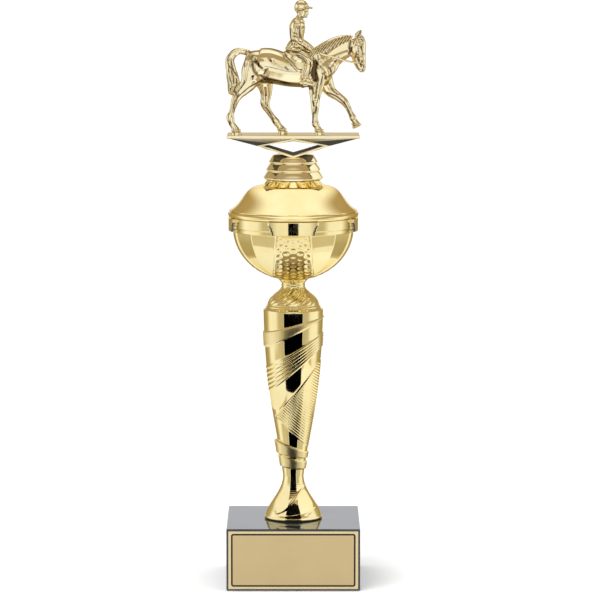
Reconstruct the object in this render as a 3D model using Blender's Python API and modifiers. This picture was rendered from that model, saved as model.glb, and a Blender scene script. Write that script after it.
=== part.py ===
"""A horse and rider trophy: a moulded figure on a lidded bowl, a spiral column and a stone block.

Metres, +Z up, the underside of the stone block on z = 0 and the trophy's axis on x = y = 0.
The horse faces +X, and the front of the block, with its engraving plate, faces -Y.
"""

import math

import bmesh
import bpy
import numpy as np
from mathutils import Matrix, Vector

# Gap between two pieces that rest face to face
SEAT_GAP = 0.0003

# Stone block and engraving plate
BLOCK_WIDTH = 0.090
BLOCK_DEPTH = 0.090
BLOCK_HEIGHT = 0.042
BLOCK_EDGE = 0.0006
ENGRAVING_MARGIN = 0.0014
ENGRAVING_THICKNESS = 0.0006

# Column, from its foot up
FOOT_RADIUS = 0.0198
FOOT_LIP = 0.0016
FOOT_HEIGHT = 0.029
ANKLE_RADIUS = 0.0070
STEM_HEIGHT = 0.114
STEM_RADIUS = 0.0203
RING_HEIGHT = 0.0044
SWIRL_HEIGHT = 0.0120
SWIRL_RADIUS = 0.0174
NECK_RADIUS = 0.0078
NECK_HEIGHT = 0.0048
SWIRL_FLUTES = 15
SWIRL_DEPTH = 0.0005
SWIRL_TWIST = math.radians(48)
RIBBON_RAISE = 0.0008
PLEAT_RAISE = 0.0006
RIB_RAISE = 0.0004
WRAP_RAISE = 0.0014
# Bands that slant round the stem: each edge's height on the axis and its rise to the right side,
# both as shares of the stem's height
RIBBON_TOP = (0.920, 0.047)
RIBBON_FOOT = (0.863, 0.079)
PLEATS_TOP = (0.772, 0.104)
PLEATS_FOOT = (0.645, 0.117)
RIBS_TOP = (0.497, 0.190)
RIBS_FOOT = (0.232, -0.044)
UPPER_WRAP_TOP = (0.182, -0.030)
UPPER_WRAP_FOOT = (0.122, -0.013)
LOWER_WRAP_TOP = (0.107, -0.026)
LOWER_WRAP_FOOT = (0.048, -0.009)
PLEATS = 3
BAND_EDGE = 0.009

# Bowl
BOWL_RADIUS = 0.0401
BOWL_DEPTH = 0.0362
BOWL_WALL = 0.0018
BAND_RAISE = 0.0013
BAND_HEIGHT = 0.0066
SHIELD_CORNER_DROP = 0.0022
BOWL_SEAT_RADIUS = 0.0102
TONGUE_RAISE = 0.0006
TONGUE_TOP_HALF_WIDTH = 0.0104
TONGUE_FOOT_HALF_WIDTH = 0.0132
SHIELD_RAISE = 0.0025
SHIELD_HALF_ANGLE = math.radians(25)
PANEL_EDGE = math.radians(2)
PANELS = 4

# Lid, a little wider than the bowl's shields
LID_OVERHANG = 0.0003
LID_RIM_HEIGHT = 0.0042
DOME_HEIGHT = 0.0170
LID_WALL = 0.0018
BOSS_RADIUS = 0.0216
BOSS_TOP_RADIUS = 0.0180
BOSS_HEIGHT = 0.0042
BOSS_FLUTES = 16
BOSS_FLUTE_DEPTH = 0.0007

# Figure: stepped collar, openwork bracket and ground plate
COLLAR_RADIUS = 0.0200
COLLAR_TOP_RADIUS = 0.0143
COLLAR_HEIGHT = 0.0165
COLLAR_STEPS = 3
BRACKET_SINK = 0.0017
BRACKET_DROP = 0.0134
BRACKET_HALF_WIDTH = 0.0242
BRACKET_BAR = 0.0022
BRACKET_CORNER_DROP = 0.0050
BRACKET_INSET = 0.0012
GROUND_DEPTH = 0.032
GROUND_THICKNESS = 0.0023
GROUND_MARGIN = 0.0016
GROUND_EDGE = 0.0005

# Horse and rider are drawn 60 units high at the withers
WITHERS_HEIGHT = 0.0592
UNIT = WITHERS_HEIGHT / 60.0
STANCE_BACK = -43.6
FIGURE_VOXEL = 0.70 * UNIT
FIGURE_TRIANGLES = 3600

COLUMN_STEPS = 30
BOWL_STEPS = 48
LID_STEPS = 32
COLLAR_TURN_STEPS = 28
MERGE = 1e-5
SHARP_ANGLE = math.radians(35)

BAND_RADIUS = BOWL_RADIUS + BAND_RAISE
LID_RADIUS = BAND_RADIUS + SHIELD_RAISE + LID_OVERHANG

COLUMN_FOOT_Z = BLOCK_HEIGHT + SEAT_GAP
STEM_FOOT_Z = COLUMN_FOOT_Z + FOOT_HEIGHT
STEM_TOP_Z = STEM_FOOT_Z + STEM_HEIGHT
SWIRL_Z = STEM_TOP_Z + RING_HEIGHT
NECK_Z = SWIRL_Z + SWIRL_HEIGHT
COLUMN_TOP_Z = NECK_Z + NECK_HEIGHT
BOWL_FOOT_Z = COLUMN_TOP_Z + SEAT_GAP
BAND_Z = BOWL_FOOT_Z + BOWL_DEPTH * math.sqrt(1 - (BOWL_SEAT_RADIUS / BOWL_RADIUS) ** 2)
BOWL_TOP_Z = BAND_Z + BAND_HEIGHT
LID_Z = BOWL_TOP_Z + SEAT_GAP
DOME_Z = LID_Z + LID_RIM_HEIGHT
BOSS_Z = DOME_Z + DOME_HEIGHT
LID_TOP_Z = BOSS_Z + BOSS_HEIGHT
COLLAR_Z = LID_TOP_Z + SEAT_GAP
BRACKET_Z = COLLAR_Z + COLLAR_HEIGHT - BRACKET_SINK
GROUND_UNDER_Z = BRACKET_Z + BRACKET_DROP
GROUND_Z = GROUND_UNDER_Z + GROUND_THICKNESS
GROUND_HALF_LENGTH = -STANCE_BACK * UNIT + GROUND_MARGIN

for old in list(bpy.data.objects):
    bpy.data.objects.remove(old, do_unlink=True)
trophy = bpy.data.collections.new("horse_trophy")
helpers = bpy.data.collections.new("cutters")
bpy.context.scene.collection.children.link(trophy)
bpy.context.scene.collection.children.link(helpers)


def finish(name, colour, roughness, metallic):
    """A Principled material of one colour."""
    made = bpy.data.materials.new(name)
    made.use_nodes = True
    shader = made.node_tree.nodes["Principled BSDF"]
    shader.inputs["Base Color"].default_value = (*colour, 1.0)
    shader.inputs["Roughness"].default_value = roughness
    shader.inputs["Metallic"].default_value = metallic
    return made


PALE_GOLD = finish("pale_gold_plating", (0.86, 0.72, 0.42), 0.12, 1.0)
YELLOW_GOLD = finish("yellow_gold_plating", (0.90, 0.74, 0.34), 0.10, 1.0)
STONE = finish("dark_polished_stone", (0.045, 0.05, 0.055), 0.15, 0.0)
ENGRAVING = finish("satin_gold_sheet", (0.60, 0.47, 0.25), 0.40, 0.6)


def add_mesh(name, points, faces, home=trophy):
    """A mesh object of these points and faces."""
    mesh = bpy.data.meshes.new(name)
    mesh.from_pydata([tuple(map(float, p)) for p in points], [], faces)
    made = bpy.data.objects.new(name, mesh)
    home.objects.link(made)
    return made


def made_plain(shape, home=trophy):
    """The object as a mesh, with its modifiers or its curve worked out and its caps welded."""
    bpy.context.view_layer.update()
    graph = bpy.context.evaluated_depsgraph_get()
    name, place = shape.name, shape.matrix_world.copy()
    mesh = bpy.data.meshes.new_from_object(shape.evaluated_get(graph))
    bpy.data.objects.remove(shape, do_unlink=True)
    made = bpy.data.objects.new(name, mesh)
    home.objects.link(made)
    made.matrix_world = place
    weld = made.modifiers.new("weld", "WELD")
    weld.merge_threshold = MERGE
    return made


def hide_helper(shape):
    """A cutter or joined shape stays out of the render."""
    shape.hide_render = True
    shape.display_type = "WIRE"


def join_by_union(body, *others):
    """Adds to the body the others that overlap it."""
    for other in others:
        hide_helper(other)
        step = body.modifiers.new("join_" + other.name, "BOOLEAN")
        step.operation = "UNION"
        step.object = other


def turned(name, profile, steps, home=trophy):
    """A solid of revolution. The profile is (radius, height) pairs, down its outer side."""
    edges = [(i, i + 1) for i in range(len(profile) - 1)]
    mesh = bpy.data.meshes.new(name)
    mesh.from_pydata([(r, 0.0, z) for r, z in profile], edges, [])
    made = bpy.data.objects.new(name, mesh)
    home.objects.link(made)
    screw = made.modifiers.new("turn", "SCREW")
    screw.steps = steps
    screw.render_steps = steps
    screw.use_merge_vertices = True
    screw.merge_threshold = MERGE
    return made_plain(made, home)


def reshape(shape, rule):
    """Moves each point of a turned shape to the angle, radius and height that the rule gives
    for its own, and smooths its shading over the blunter edges."""
    for point in shape.data.vertices:
        radius = math.hypot(point.co.x, point.co.y)
        if radius > MERGE:
            angle = math.atan2(point.co.y, point.co.x)
            angle, radius, height = rule(angle, radius, point.co.z)
            point.co = (radius * math.cos(angle), radius * math.sin(angle), height)
    shape.data.shade_smooth()
    shape.data.set_sharp_from_angle(angle=SHARP_ANGLE)


def bezier(start, pull_a, pull_b, end, count):
    """Points of a cubic curve after its start, up to and with its end."""
    t = np.linspace(0, 1, count + 1)[1:, None]
    a, b, c, d = (np.array(p, float) for p in (start, pull_a, pull_b, end))
    points = a * (1 - t) ** 3 + 3 * b * t * (1 - t) ** 2 + 3 * c * t**2 * (1 - t) + d * t**3
    return [tuple(p) for p in points]


def box(name, size, centre, home=trophy):
    """A box of this size about this centre."""
    made = bmesh.new()
    bmesh.ops.create_cube(made, size=1, matrix=Matrix.LocRotScale(centre, None, size))
    mesh = bpy.data.meshes.new(name)
    made.to_mesh(mesh)
    made.free()
    shape = bpy.data.objects.new(name, mesh)
    home.objects.link(shape)
    return shape


def ease_edges(shape, width):
    """A small rounded edge all round."""
    edge = shape.modifiers.new("eased_edge", "BEVEL")
    edge.width = width
    edge.segments = 2


# Stone block, sawn and polished, with its engraving plate glued on the front
def make_block():
    middle = Vector((0, 0, BLOCK_HEIGHT / 2))
    block = box("stone_block", Vector((BLOCK_WIDTH, BLOCK_DEPTH, BLOCK_HEIGHT)), middle)
    ease_edges(block, BLOCK_EDGE)
    block.data.materials.append(STONE)


def make_engraving_plate():
    width = BLOCK_WIDTH - 2 * ENGRAVING_MARGIN
    height = BLOCK_HEIGHT - 2 * ENGRAVING_MARGIN
    front = -BLOCK_DEPTH / 2 - SEAT_GAP
    middle = Vector((0, front - ENGRAVING_THICKNESS / 2, BLOCK_HEIGHT / 2))
    plate = box("engraving_plate", Vector((width, ENGRAVING_THICKNESS, height)), middle)
    plate.data.materials.append(ENGRAVING)


# Column: a flared foot, a tapering stem with slanting bands, a fluted shoulder and a neck
def stem_curve(count):
    """Points up the plain side of the stem."""
    ankle = (ANKLE_RADIUS, STEM_FOOT_Z)
    return [ankle] + bezier(
        ankle,
        (ANKLE_RADIUS + 0.0045, STEM_FOOT_Z + STEM_HEIGHT * 0.32),
        (STEM_RADIUS - 0.0012, STEM_FOOT_Z + STEM_HEIGHT * 0.48),
        (STEM_RADIUS, STEM_TOP_Z),
        count,
    )


STEM_SIDE = stem_curve(40)


def stem_radius(height):
    """The plain stem's radius at this height."""
    return float(np.interp(height, [z for _, z in STEM_SIDE], [r for r, _ in STEM_SIDE]))


def stem_rows():
    """Rows of the stem from its foot up: share of height, share of slant and what it is raised."""
    rows = [(0.0, 0.0, 0.0)]
    bands = [
        (LOWER_WRAP_FOOT, LOWER_WRAP_TOP, WRAP_RAISE * 0.8, 1),
        (UPPER_WRAP_FOOT, UPPER_WRAP_TOP, WRAP_RAISE, 1),
        (RIBS_FOOT, RIBS_TOP, RIB_RAISE, 1),
        (PLEATS_FOOT, PLEATS_TOP, PLEAT_RAISE, PLEATS),
        (RIBBON_FOOT, RIBBON_TOP, RIBBON_RAISE, 1),
    ]
    for foot, top, raised, folds in bands:
        rise = top[0] - foot[0]
        turn = top[1] - foot[1]
        for fold in range(folds):
            low, high = fold / folds, (fold + 1) / folds
            edge = min(BAND_EDGE / rise, (high - low) / 3)
            rows.append((foot[0] + rise * low, foot[1] + turn * low, 0.0))
            rows.append((foot[0] + rise * (low + edge), foot[1] + turn * (low + edge), raised))
            if rise > 0.2:
                rows.append((foot[0] + rise / 2, foot[1] + turn / 2, raised))
            if folds == 1:
                rows.append((foot[0] + rise * (1 - edge), foot[1] + turn * (1 - edge), raised))
        rows.append((top[0], top[1], 0.0))
    return rows


STEM_ROWS = stem_rows()


def column_profile():
    foot = COLUMN_FOOT_Z
    lip = foot + FOOT_LIP
    shoulder = (FOOT_RADIUS * 0.94, lip + 0.001)
    up = [(0, foot), (FOOT_RADIUS, foot), (FOOT_RADIUS, lip), shoulder]
    up += bezier(
        shoulder,
        (FOOT_RADIUS * 0.80, foot + FOOT_HEIGHT * 0.42),
        (ANKLE_RADIUS * 1.04, foot + FOOT_HEIGHT * 0.62),
        (ANKLE_RADIUS, STEM_FOOT_Z),
        4,
    )
    for share, _, _ in STEM_ROWS[1:]:
        height = STEM_FOOT_Z + STEM_HEIGHT * share
        up.append((stem_radius(height), height))
    up += [
        (STEM_RADIUS, STEM_TOP_Z),
        (SWIRL_RADIUS + 0.0006, STEM_TOP_Z + RING_HEIGHT * 0.45),
        (SWIRL_RADIUS, SWIRL_Z),
    ]
    up += bezier(
        (SWIRL_RADIUS, SWIRL_Z),
        (SWIRL_RADIUS - 0.001, SWIRL_Z + SWIRL_HEIGHT * 0.45),
        (NECK_RADIUS + 0.0008, NECK_Z - SWIRL_HEIGHT * 0.35),
        (NECK_RADIUS, NECK_Z),
        4,
    )
    up += bezier(
        (NECK_RADIUS, NECK_Z),
        (NECK_RADIUS, NECK_Z + NECK_HEIGHT * 0.5),
        (BOWL_SEAT_RADIUS * 0.9, NECK_Z + NECK_HEIGHT * 0.6),
        (BOWL_SEAT_RADIUS, COLUMN_TOP_Z),
        2,
    )
    up.append((0, COLUMN_TOP_Z))
    return up[::-1]


def column_rule(angle, radius, height):
    """Slants and raises the stem's bands, and twists and flutes the shoulder."""
    if height > SWIRL_Z + MERGE:
        share = min(1.0, (height - SWIRL_Z) / SWIRL_HEIGHT)
        flute = SWIRL_DEPTH * math.sin(math.pi * share) * math.cos(angle * SWIRL_FLUTES)
        return angle - SWIRL_TWIST * share, radius + flute, height
    if not STEM_FOOT_Z < height < STEM_TOP_Z - MERGE:
        return angle, radius, height
    share = (height - STEM_FOOT_Z) / STEM_HEIGHT
    _, slant, raised = min(STEM_ROWS, key=lambda row: abs(row[0] - share))
    height += slant * STEM_HEIGHT * math.cos(angle)
    return angle, stem_radius(height) + raised, height


def make_column():
    column = turned("spiral_column", column_profile(), COLUMN_STEPS)
    reshape(column, column_rule)
    column.data.materials.append(YELLOW_GOLD)


# Bowl: an ellipsoid shell with flat facets, four raised tongues and a shield above each
def bowl_outer(count):
    """Points down the bowl's outer side, an ellipse from the shields' corners to the seat."""
    first = math.asin(SHIELD_CORNER_DROP / BOWL_DEPTH)
    last = math.acos(BOWL_SEAT_RADIUS / BOWL_RADIUS)
    angles = [first + (last - first) * i / count for i in range(count + 1)]
    return [
        (BOWL_RADIUS * math.cos(a), BAND_Z - BOWL_DEPTH * math.sin(a)) for a in angles
    ]


def bowl_inner(count):
    """Points up the bowl's inner side, the same ellipse drawn in by the wall."""
    wide = BOWL_RADIUS - BOWL_WALL
    deep = BAND_Z - BOWL_FOOT_Z - 1.5 * BOWL_WALL
    angles = [math.pi / 2 * (1 - i / count) for i in range(count + 1)]
    return [(wide * math.cos(a), BAND_Z - deep * math.sin(a)) for a in angles]


def bowl_rule(angle, radius, height):
    """Moves the outer grid lines to the edges of the four shields and of the tongues under them,
    raises those, and lays flat facets between the tongues."""
    below = BAND_Z - height
    outer = BOWL_RADIUS * math.sqrt(max(0.0, 1 - (max(0.0, below) / BOWL_DEPTH) ** 2))
    if radius < outer - BOWL_WALL / 2 or radius < BOWL_SEAT_RADIUS * 1.05:
        return angle, radius, height
    half_panel = math.pi / PANELS
    panel = round(angle / (2 * half_panel)) * 2 * half_panel
    turn = angle - panel
    line = round(abs(turn) / half_panel * BOWL_STEPS / PANELS / 2)
    if below < MERGE:
        edge, raised = SHIELD_HALF_ANGLE, SHIELD_RAISE
    else:
        share = below / BOWL_DEPTH
        wide = TONGUE_TOP_HALF_WIDTH * (1 - share) + TONGUE_FOOT_HALF_WIDTH * share
        edge = math.asin(min(wide / radius, math.sin(half_panel - 2.5 * PANEL_EDGE)))
        raised = TONGUE_RAISE
    facet = edge + PANEL_EDGE
    stops = [0.0, edge / 2, edge, *np.linspace(facet, half_panel, BOWL_STEPS // PANELS // 2 - 2)]
    found = stops[line]
    if line < 3:
        radius += raised
    elif below > MERGE:
        radius *= math.cos((half_panel - facet) / 2) / math.cos(found - (half_panel + facet) / 2)
    return panel + math.copysign(found, turn), radius, height


def make_bowl():
    band = [
        (BOWL_RADIUS - BOWL_WALL, BOWL_TOP_Z),
        (BAND_RADIUS, BOWL_TOP_Z),
        (BAND_RADIUS, BAND_Z + BAND_HEIGHT / 2),
        (BAND_RADIUS, BAND_Z),
    ]
    profile = bowl_inner(4) + band + bowl_outer(8) + [(0, BOWL_FOOT_Z)]
    bowl = turned("bowl", profile, BOWL_STEPS)
    reshape(bowl, bowl_rule)
    bowl.data.materials.append(YELLOW_GOLD)


# Lid: a spun dome with a beaded rim and a fluted boss that carries the figure
def dome_curve(inset, count):
    """Points down the dome's side from the boss to the rim, drawn in by inset."""
    start = (BOSS_RADIUS - inset, BOSS_Z - inset)
    end = (LID_RADIUS - 0.001 - inset, DOME_Z + 0.0004)
    reach = end[0] - start[0]
    return [start] + bezier(
        start,
        (start[0] + reach * 0.56, start[1] + 0.0003),
        (start[0] + reach * 0.55, DOME_Z + DOME_HEIGHT * 0.27),
        end,
        count,
    )


def lid_rule(angle, radius, height):
    """Flutes round the boss."""
    if height > BOSS_Z + BOSS_HEIGHT * 0.2 and radius > BOSS_TOP_RADIUS * 0.9:
        radius += BOSS_FLUTE_DEPTH * math.cos(angle * BOSS_FLUTES)
    return angle, radius, height


def make_lid():
    outer = [(0, LID_TOP_Z), (BOSS_TOP_RADIUS, LID_TOP_Z)]
    outer.append((BOSS_TOP_RADIUS + 0.0012, BOSS_Z + BOSS_HEIGHT * 0.5))
    outer += dome_curve(0.0, 6)
    outer += [
        (LID_RADIUS, DOME_Z - LID_RIM_HEIGHT * 0.4),
        (LID_RADIUS - 0.0004, LID_Z + 0.0002),
        (LID_RADIUS - 0.0010, LID_Z),
    ]
    inner = [(BOWL_RADIUS - BOWL_WALL, LID_Z), (BOWL_RADIUS - BOWL_WALL, DOME_Z - 0.001)]
    inner += dome_curve(LID_WALL, 3)[-2::-1]
    inner.append((0, BOSS_Z - LID_WALL))
    lid = turned("domed_lid", outer + inner, LID_STEPS)
    reshape(lid, lid_rule)
    lid.data.materials.append(YELLOW_GOLD)


# Figure: one moulding of collar, openwork bracket, ground plate, horse and rider
def collar_profile():
    """Stepped rings, each wider than the one above, down to the flat underside."""
    points = [(0, COLLAR_Z + COLLAR_HEIGHT), (COLLAR_TOP_RADIUS, COLLAR_Z + COLLAR_HEIGHT)]
    tall = COLLAR_HEIGHT / COLLAR_STEPS
    wider = (COLLAR_RADIUS - COLLAR_TOP_RADIUS) / COLLAR_STEPS
    for ring in range(COLLAR_STEPS):
        top = COLLAR_Z + COLLAR_HEIGHT - ring * tall
        radius = COLLAR_TOP_RADIUS + ring * wider
        points.append((radius + wider * 0.35, top - tall * 0.22))
        points.append((radius + wider * 1.10, top - tall * 0.80))
        if ring < COLLAR_STEPS - 1:
            points.append((radius + wider * 0.80, top - tall * 0.95))
    points += [(COLLAR_RADIUS - 0.0012, COLLAR_Z), (0, COLLAR_Z)]
    return points


def flat_outline(name, outlines, depth):
    """A solid of flat outlines in the XZ plane, its depth centred on y = 0."""
    curve = bpy.data.curves.new(name, "CURVE")
    curve.dimensions = "2D"
    curve.fill_mode = "BOTH"
    curve.extrude = depth / 2
    for outline in outlines:
        spline = curve.splines.new("POLY")
        spline.points.add(len(outline) - 1)
        for point, (x, z) in zip(spline.points, outline):
            point.co = (x, z, 0, 1)
        spline.use_cyclic_u = True
    made = bpy.data.objects.new(name, curve)
    helpers.objects.link(made)
    made.rotation_euler = (math.pi / 2, 0, 0)
    return made_plain(made, helpers)


def make_bracket():
    """Wedges under the ground plate that run into a kite-shaped window."""
    top = GROUND_UNDER_Z + GROUND_THICKNESS / 2
    corner = GROUND_UNDER_Z - BRACKET_CORNER_DROP
    half = GROUND_HALF_LENGTH - BRACKET_INSET
    wide = BRACKET_HALF_WIDTH
    foot = BRACKET_Z
    outer = [
        (-half, top),
        (-half, GROUND_UNDER_Z),
        (-wide, corner),
        (0, foot),
        (wide, corner),
        (half, GROUND_UNDER_Z),
        (half, top),
    ]
    hole = wide - BRACKET_BAR * 1.4
    window = [
        (-hole, corner),
        (0, GROUND_UNDER_Z - BRACKET_BAR * 0.4),
        (hole, corner),
        (0, foot + BRACKET_BAR * 1.1),
    ]
    return flat_outline("bracket", [outer, window], GROUND_DEPTH - 2 * GROUND_EDGE)


def make_ground():
    size = Vector((2 * GROUND_HALF_LENGTH, GROUND_DEPTH, GROUND_THICKNESS))
    middle = Vector((0, 0, GROUND_Z - GROUND_THICKNESS / 2))
    ground = box("ground_plate", size, middle, helpers)
    ease_edges(ground, GROUND_EDGE)
    return ground


def smooth_path(stations, per_span):
    """Rows of numbers read from a Catmull-Rom curve through the stations."""
    rows = np.array(stations, float)
    rows = np.vstack([2 * rows[0] - rows[1], rows, 2 * rows[-1] - rows[-2]])
    t = np.linspace(0, 1, per_span, endpoint=False)[:, None]
    found = []
    for a, b, c, d in zip(rows, rows[1:], rows[2:], rows[3:]):
        cubic = 2 * b + (c - a) * t + (2 * a - 5 * b + 4 * c - d) * t**2
        found.append((cubic + (3 * b - a - 3 * c + d) * t**3) / 2)
    return np.vstack([*found, rows[-2:-1]])


def loft(stations, per_span=3, sides=14):
    """A closed tube of oval rings. Each station is x, y, z, the half width across and the half
    thickness in the plane of the path, in units. Returns its points and faces."""
    rows = smooth_path(stations, per_span)
    centre, across, thick = rows[:, :3], rows[:, 3], rows[:, 4]
    along = np.gradient(centre, axis=0)
    along /= np.linalg.norm(along, axis=1)[:, None]
    side = np.cross(along, (0.0, 1.0, 0.0))
    side /= np.linalg.norm(side, axis=1)[:, None]
    wide = np.cross(side, along)
    turn = np.linspace(0, 2 * math.pi, sides, endpoint=False)
    ring = (
        centre[:, None]
        + wide[:, None] * (across[:, None] * np.cos(turn))[:, :, None]
        + side[:, None] * (thick[:, None] * np.sin(turn))[:, :, None]
    )
    points = ring.reshape(-1, 3)
    faces = []
    for i in range(len(rows) - 1):
        for j in range(sides):
            k = (j + 1) % sides
            faces.append((i * sides + j, i * sides + k, (i + 1) * sides + k, (i + 1) * sides + j))
    faces.append(tuple(range(sides))[::-1])
    last = (len(rows) - 1) * sides
    faces.append(tuple(range(last, last + sides)))
    return points, faces


def mirrored(stations):
    """The same stations on the other side of the horse."""
    return [(x, -y, *rest) for x, y, *rest in stations]


def horse_forms():
    """Body, neck, head, legs and tail, each an oval tube along its own path."""
    near, far = -1, 1
    body = [
        (-33.5, 0, 49.5, 4.6, 5.4),
        (-30, 0, 48.6, 7.6, 8.8),
        (-24, 0, 46.8, 9.4, 11.6),
        (-17, 0, 46.8, 9.8, 12.1),
        (-10, 0, 45.2, 10.1, 11.6),
        (-3, 0, 43.4, 10.4, 11.0),
        (5, 0, 43.4, 10.2, 11.6),
        (12, 0, 44.6, 9.2, 13.2),
        (19, 0, 44.4, 8.4, 13.4),
        (24, 0, 42.6, 7.0, 10.6),
        (27, 0, 41.4, 5.0, 7.0),
    ]
    neck = [
        (14, 0, 44.5, 7.2, 11.0),
        (20.2, 0, 49.6, 6.0, 11.4),
        (25.0, 0, 54.2, 4.7, 9.9),
        (30.6, 0, 57.9, 4.0, 8.9),
        (35.8, 0, 59.9, 3.6, 8.0),
        (41.0, 0, 60.9, 3.2, 6.2),
    ]
    head = [
        (44.6, 0, 67.6, 1.6, 1.9),
        (45.0, 0, 65.2, 2.7, 3.8),
        (44.7, 0, 61.8, 3.5, 5.2),
        (44.3, 0, 57.6, 3.8, 5.6),
        (44.9, 0, 53.4, 3.2, 5.0),
        (45.5, 0, 49.8, 2.6, 4.4),
        (46.3, 0, 46.4, 2.5, 3.7),
        (46.9, 0, 43.8, 2.2, 2.6),
        (47.0, 0, 42.2, 1.3, 1.5),
    ]
    ear = [
        (43.8, -1.7, 65.6, 1.4, 1.5),
        (44.8, -2.1, 68.2, 1.3, 1.4),
        (46.0, -2.4, 70.8, 0.5, 0.5),
    ]
    hind_back = [
        (-25.5, near * 4.6, 49, 4.6, 8.0),
        (-27.5, near * 5.2, 42, 5.0, 8.2),
        (-30.2, near * 5.8, 35.6, 4.0, 6.0),
        (-34.2, near * 6.0, 30.6, 2.9, 4.3),
        (-37.2, near * 6.0, 27.2, 2.4, 3.3),
        (-39.5, near * 6.0, 23.8, 2.2, 2.9),
        (-40.9, near * 6.0, 19.4, 1.7, 2.2),
        (-42.2, near * 6.0, 15.0, 1.6, 2.0),
        (-43.0, near * 6.0, 11.4, 2.0, 2.8),
        (-41.9, near * 6.0, 7.4, 1.7, 2.1),
        (-40.0, near * 6.0, 4.4, 2.1, 2.4),
        (-39.2, near * 6.0, 2.2, 2.7, 3.1),
        (-38.6, near * 6.0, -0.6, 3.1, 3.7),
    ]
    hind_front = [
        (-23, far * 4.6, 47, 4.6, 8.0),
        (-20.6, far * 5.2, 38, 4.4, 7.0),
        (-18.8, far * 5.6, 30, 3.2, 4.6),
        (-18.8, far * 5.8, 25.2, 2.4, 3.6),
        (-19.4, far * 5.8, 20.0, 2.2, 3.1),
        (-17.0, far * 5.8, 15.2, 1.7, 2.2),
        (-14.2, far * 5.8, 11.2, 1.6, 2.0),
        (-11.8, far * 5.8, 8.0, 2.0, 2.5),
        (-9.6, far * 5.8, 5.0, 1.8, 2.1),
        (-8.0, far * 5.8, 2.4, 2.6, 2.9),
        (-7.0, far * 5.8, -0.6, 3.1, 3.6),
    ]
    fore_planted = [
        (17.5, near * 4.2, 46, 4.2, 7.0),
        (16.0, near * 5.0, 36, 3.8, 5.8),
        (15.2, near * 5.4, 29.5, 3.0, 4.6),
        (14.9, near * 5.6, 24.0, 2.4, 3.3),
        (14.9, near * 5.6, 18.0, 2.2, 2.8),
        (14.8, near * 5.6, 13.4, 1.6, 2.1),
        (14.9, near * 5.6, 10.0, 1.6, 2.0),
        (15.2, near * 5.6, 7.4, 2.0, 2.6),
        (16.6, near * 5.6, 4.6, 1.8, 2.1),
        (17.5, near * 5.6, 2.2, 2.6, 3.0),
        (18.3, near * 5.6, -0.6, 3.1, 3.7),
    ]
    fore_raised = [
        (19.5, far * 4.2, 42, 4.0, 6.6),
        (22.5, far * 4.8, 34, 3.6, 5.4),
        (25.6, far * 5.2, 29, 2.9, 4.0),
        (30.2, far * 5.4, 25.6, 2.4, 3.1),
        (35.1, far * 5.4, 21.6, 2.2, 2.7),
        (37.7, far * 5.4, 17.4, 1.6, 2.0),
        (39.4, far * 5.4, 13.8, 1.6, 1.9),
        (40.8, far * 5.4, 11.0, 2.0, 2.4),
        (42.0, far * 5.4, 8.8, 1.7, 2.0),
        (42.8, far * 5.4, 6.8, 2.4, 2.7),
        (43.8, far * 5.4, 4.2, 2.8, 3.2),
    ]
    tail = [
        (-30.0, 0, 55.4, 1.8, 1.8),
        (-35.0, 0, 56.4, 1.9, 1.7),
        (-40.4, 0, 55.6, 2.2, 2.3),
        (-43.2, 0, 51.4, 2.6, 3.0),
        (-43.2, 0, 46.0, 2.8, 3.5),
        (-41.8, 0, 40.0, 3.0, 4.2),
        (-40.9, 0, 34.6, 3.0, 4.4),
        (-41.6, 0, 30.0, 2.4, 3.6),
        (-43.2, 0, 27.0, 1.2, 1.6),
    ]
    saddle = [
        (-6.4, 0, 55.0, 4.2, 3.4),
        (-1.0, 0, 52.6, 8.8, 4.4),
        (5.0, 0, 51.4, 9.8, 5.8),
        (10.4, 0, 52.4, 8.6, 6.6),
        (12.6, 0, 55.6, 4.0, 4.6),
    ]
    legs = [hind_back, hind_front, fore_planted, fore_raised]
    return [body, neck, head, ear, mirrored(ear), tail, saddle, *legs]


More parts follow.
